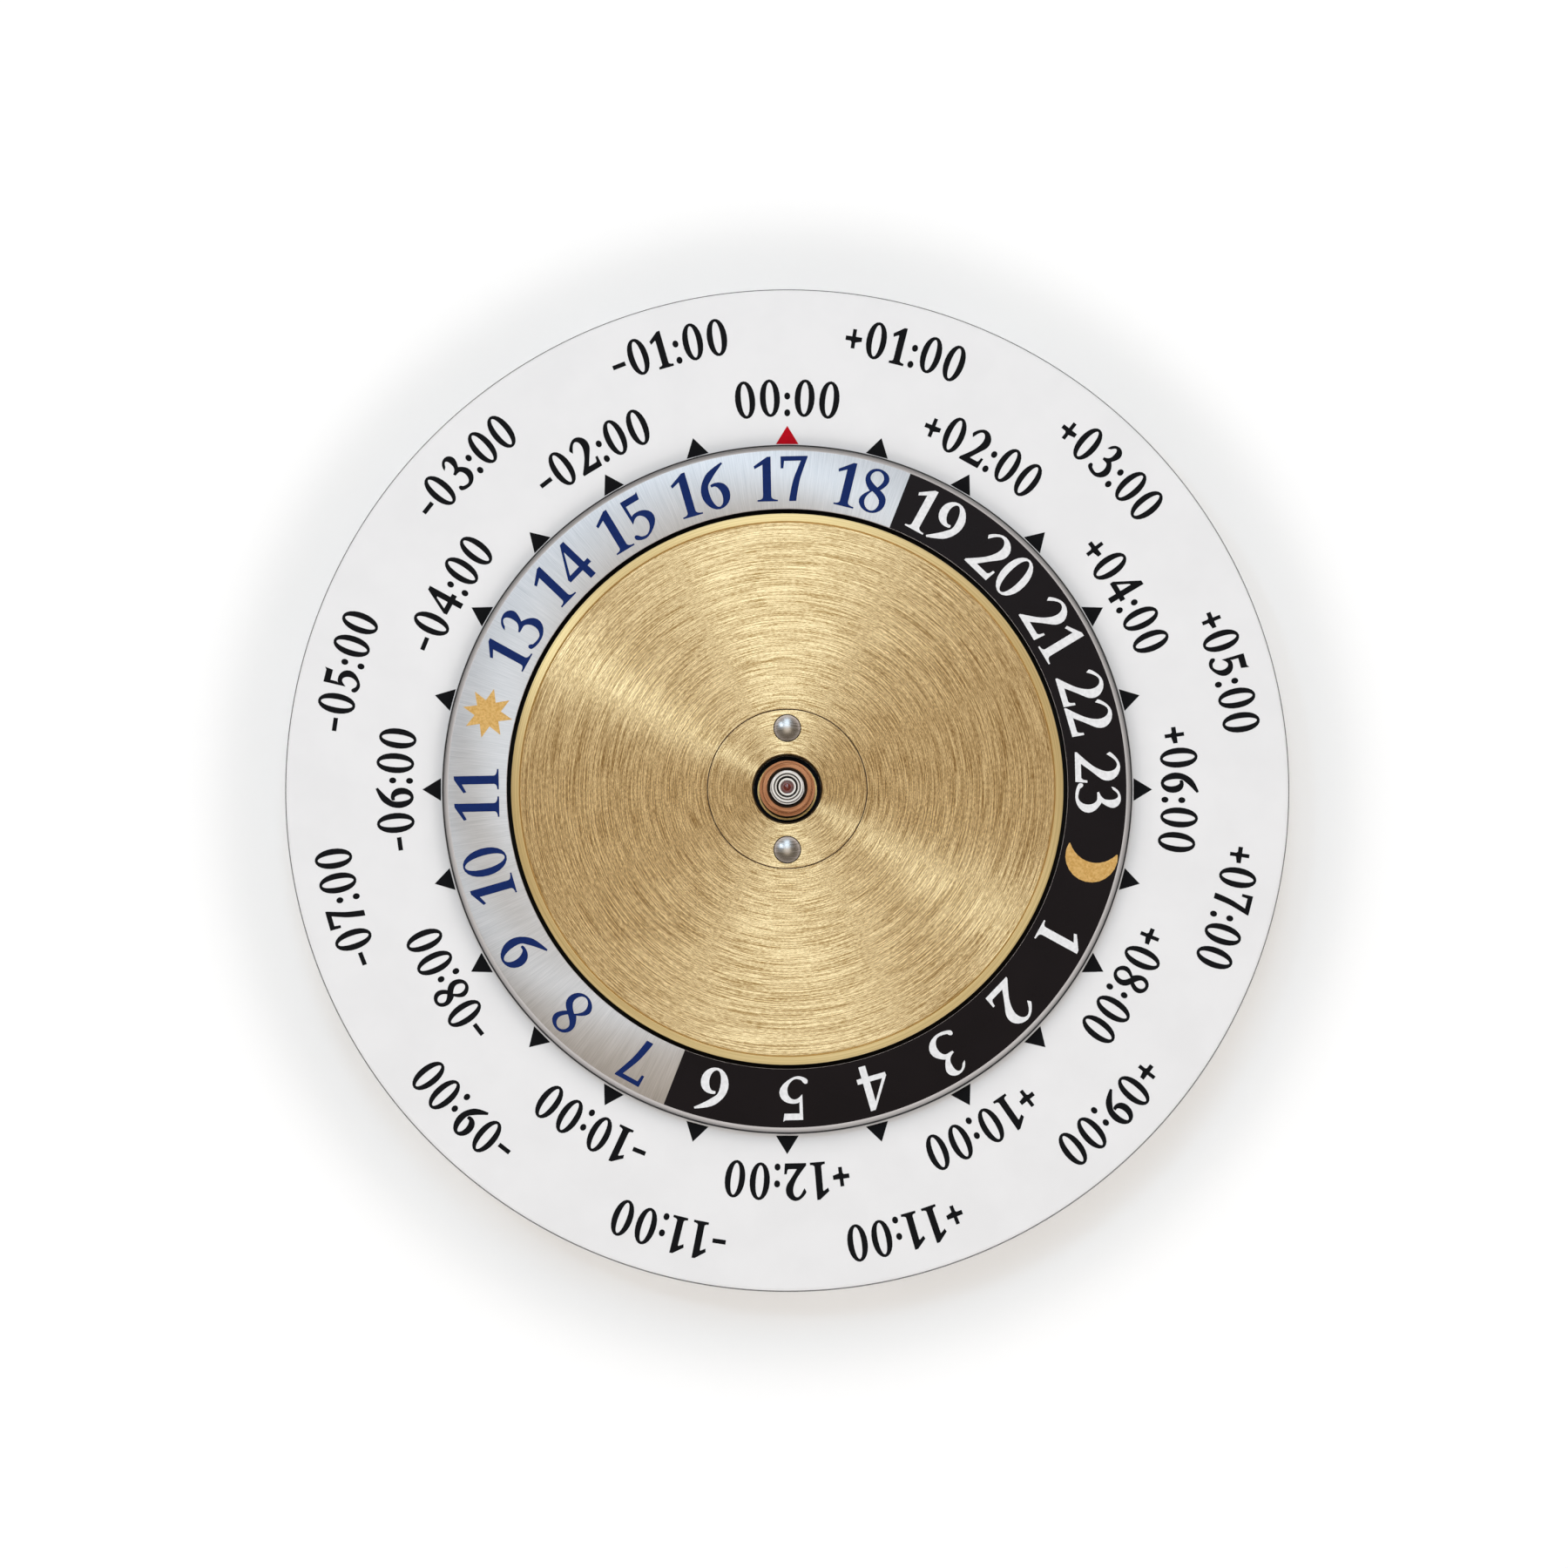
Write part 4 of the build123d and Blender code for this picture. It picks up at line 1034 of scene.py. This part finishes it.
# A sun with eight points stands for noon and a crescent moon for midnight. Both are gold leaf with a
# hammered grain, laid on the ring's face. They are drawn in units of a hundredth of a millimetre.
sign_unit = mm / glyph_units
sign_shift = 0.35
sun_radius = 0.78 * mm
sun_valley = 0.41 * mm
sun_tips = 8
sun_turn = 14.5
sun_place = 9.53 * mm
sun_azimuth = hour_azimuth(noon_hour) + sign_shift
sun_outline = []
for corner in range(2 * sun_tips):
    reach = (sun_valley if corner % 2 else sun_radius) / sign_unit
    turn = math.radians(corner * 180 / sun_tips + sun_turn - sun_azimuth)
    sun_outline.append((reach * math.sin(turn), reach * math.cos(turn)))
moon_outline = [(-50, 77), (-27, 81, -8, 0, 44.7, 0), (54, 0, 0, -44.7), (-27, -81, 44.7, 0, -8, 0),
                (-50, -77), (-51, -74, 0, 0, 26, 16), (-8, 0, 0, 31), (-51, 74, 26, -16, 0, 0)]
moon_place = 9.61 * mm
moon_azimuth = hour_azimuth(0) + sign_shift


def gold_leaf():
    """Warm gold with a fine hammered grain."""
    finish, tree, shader = start_finish("gold leaf", {"Metallic": 0.75})
    grain = noise(tree, size=0.07 * mm)
    link_finish(tree, shader, {
        "Base Color": colours(tree, grain, dark=(0.58, 0.31, 0.08), light=(0.76, 0.46, 0.16)),
        "Roughness": between(tree, grain, low=0.30, high=0.45),
        "Normal": relief(tree, grain, depth=0.006 * mm),
    })
    return finish


signs = bmesh.new()
stamp(signs, printed_shape([sun_outline], 1 / sign_unit), sun_azimuth, sun_place, face_height,
      across=sign_unit, up=sign_unit)
stamp(signs, printed_shape([moon_outline], 1 / sign_unit), moon_azimuth, moon_place, night_height,
      across=sign_unit, up=sign_unit)
sun_and_moon = shown("sun_and_moon", signs, gold_leaf(), coarse_crease)
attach(sun_and_moon, "day_ring")

# A triangle is printed on the disc at each of its 24 places, with its foot to the ring. The one at
# the top is in red ink and the others are in black.
mark_foot = 10.69 * mm
mark_height = 0.57 * mm
mark_half_width = 0.35 * mm
mark_unit = mark_height / glyph_units
mark_outline = [(-mark_half_width / mark_unit, 0), (0, glyph_units), (mark_half_width / mark_unit, 0)]
mark_mesh = printed_shape([mark_outline], 1 / mark_unit)
print_height = disc_high.z + ink_lift
black_ink = ink("black ink", (0.006, 0.006, 0.007))
red_ink = ink("red ink", (0.50, 0.003, 0.012))


def printed_marks(name, places, finish):
    """The triangles at some of the disc's places."""
    shape = bmesh.new()
    for place in places:
        stamp(shape, mark_mesh, place * hour_step, mark_foot, print_height, across=mark_unit, up=mark_unit)
    return shown(name, shape, finish, coarse_crease)


place_marks = printed_marks("place_marks", range(1, day_hours), black_ink)
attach(place_marks, "city")
top_mark = printed_marks("top_mark", [0], red_ink)
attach(top_mark, "city")

# Beside each triangle stands the time difference of that place in hours, printed in black ink in two
# rows that take turns.
offset_height = 1.13 * mm
inner_row = 11.56 * mm
outer_row = 13.60 * mm
offset_gap = 15
offset_squeeze = 0.84
offset_unit = offset_height / glyph_units
offset_boldness = 1.6
offset_meshes = {sign: printed_shape(outlines, 1 / offset_unit, offset_boldness)
                 for sign, (_, outlines) in glyphs.items()}


def offset_words(place):
    """The time difference printed at a place, such as +05:00."""
    hours = place if place <= noon_hour else place - day_hours
    return f"{hours:+03d}:00" if hours else "00:00"


offsets = bmesh.new()
for place in range(day_hours):
    row = outer_row if place % 2 else inner_row
    words = offset_words(place)
    across = offset_squeeze * offset_unit
    spans = [glyphs[sign][0] * across for sign in words]
    length = sum(spans) + offset_gap * across * (len(words) - 1)
    along = -length / 2
    for sign, span in zip(words, spans):
        azimuth = place * hour_step + math.degrees((along + span / 2) / row)
        stamp(offsets, offset_meshes[sign], azimuth, row, print_height, across, offset_unit, -span / 2)
        along += span + offset_gap * across
offset_print = shown("place_offsets", offsets, black_ink, coarse_crease)
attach(offset_print, "city")
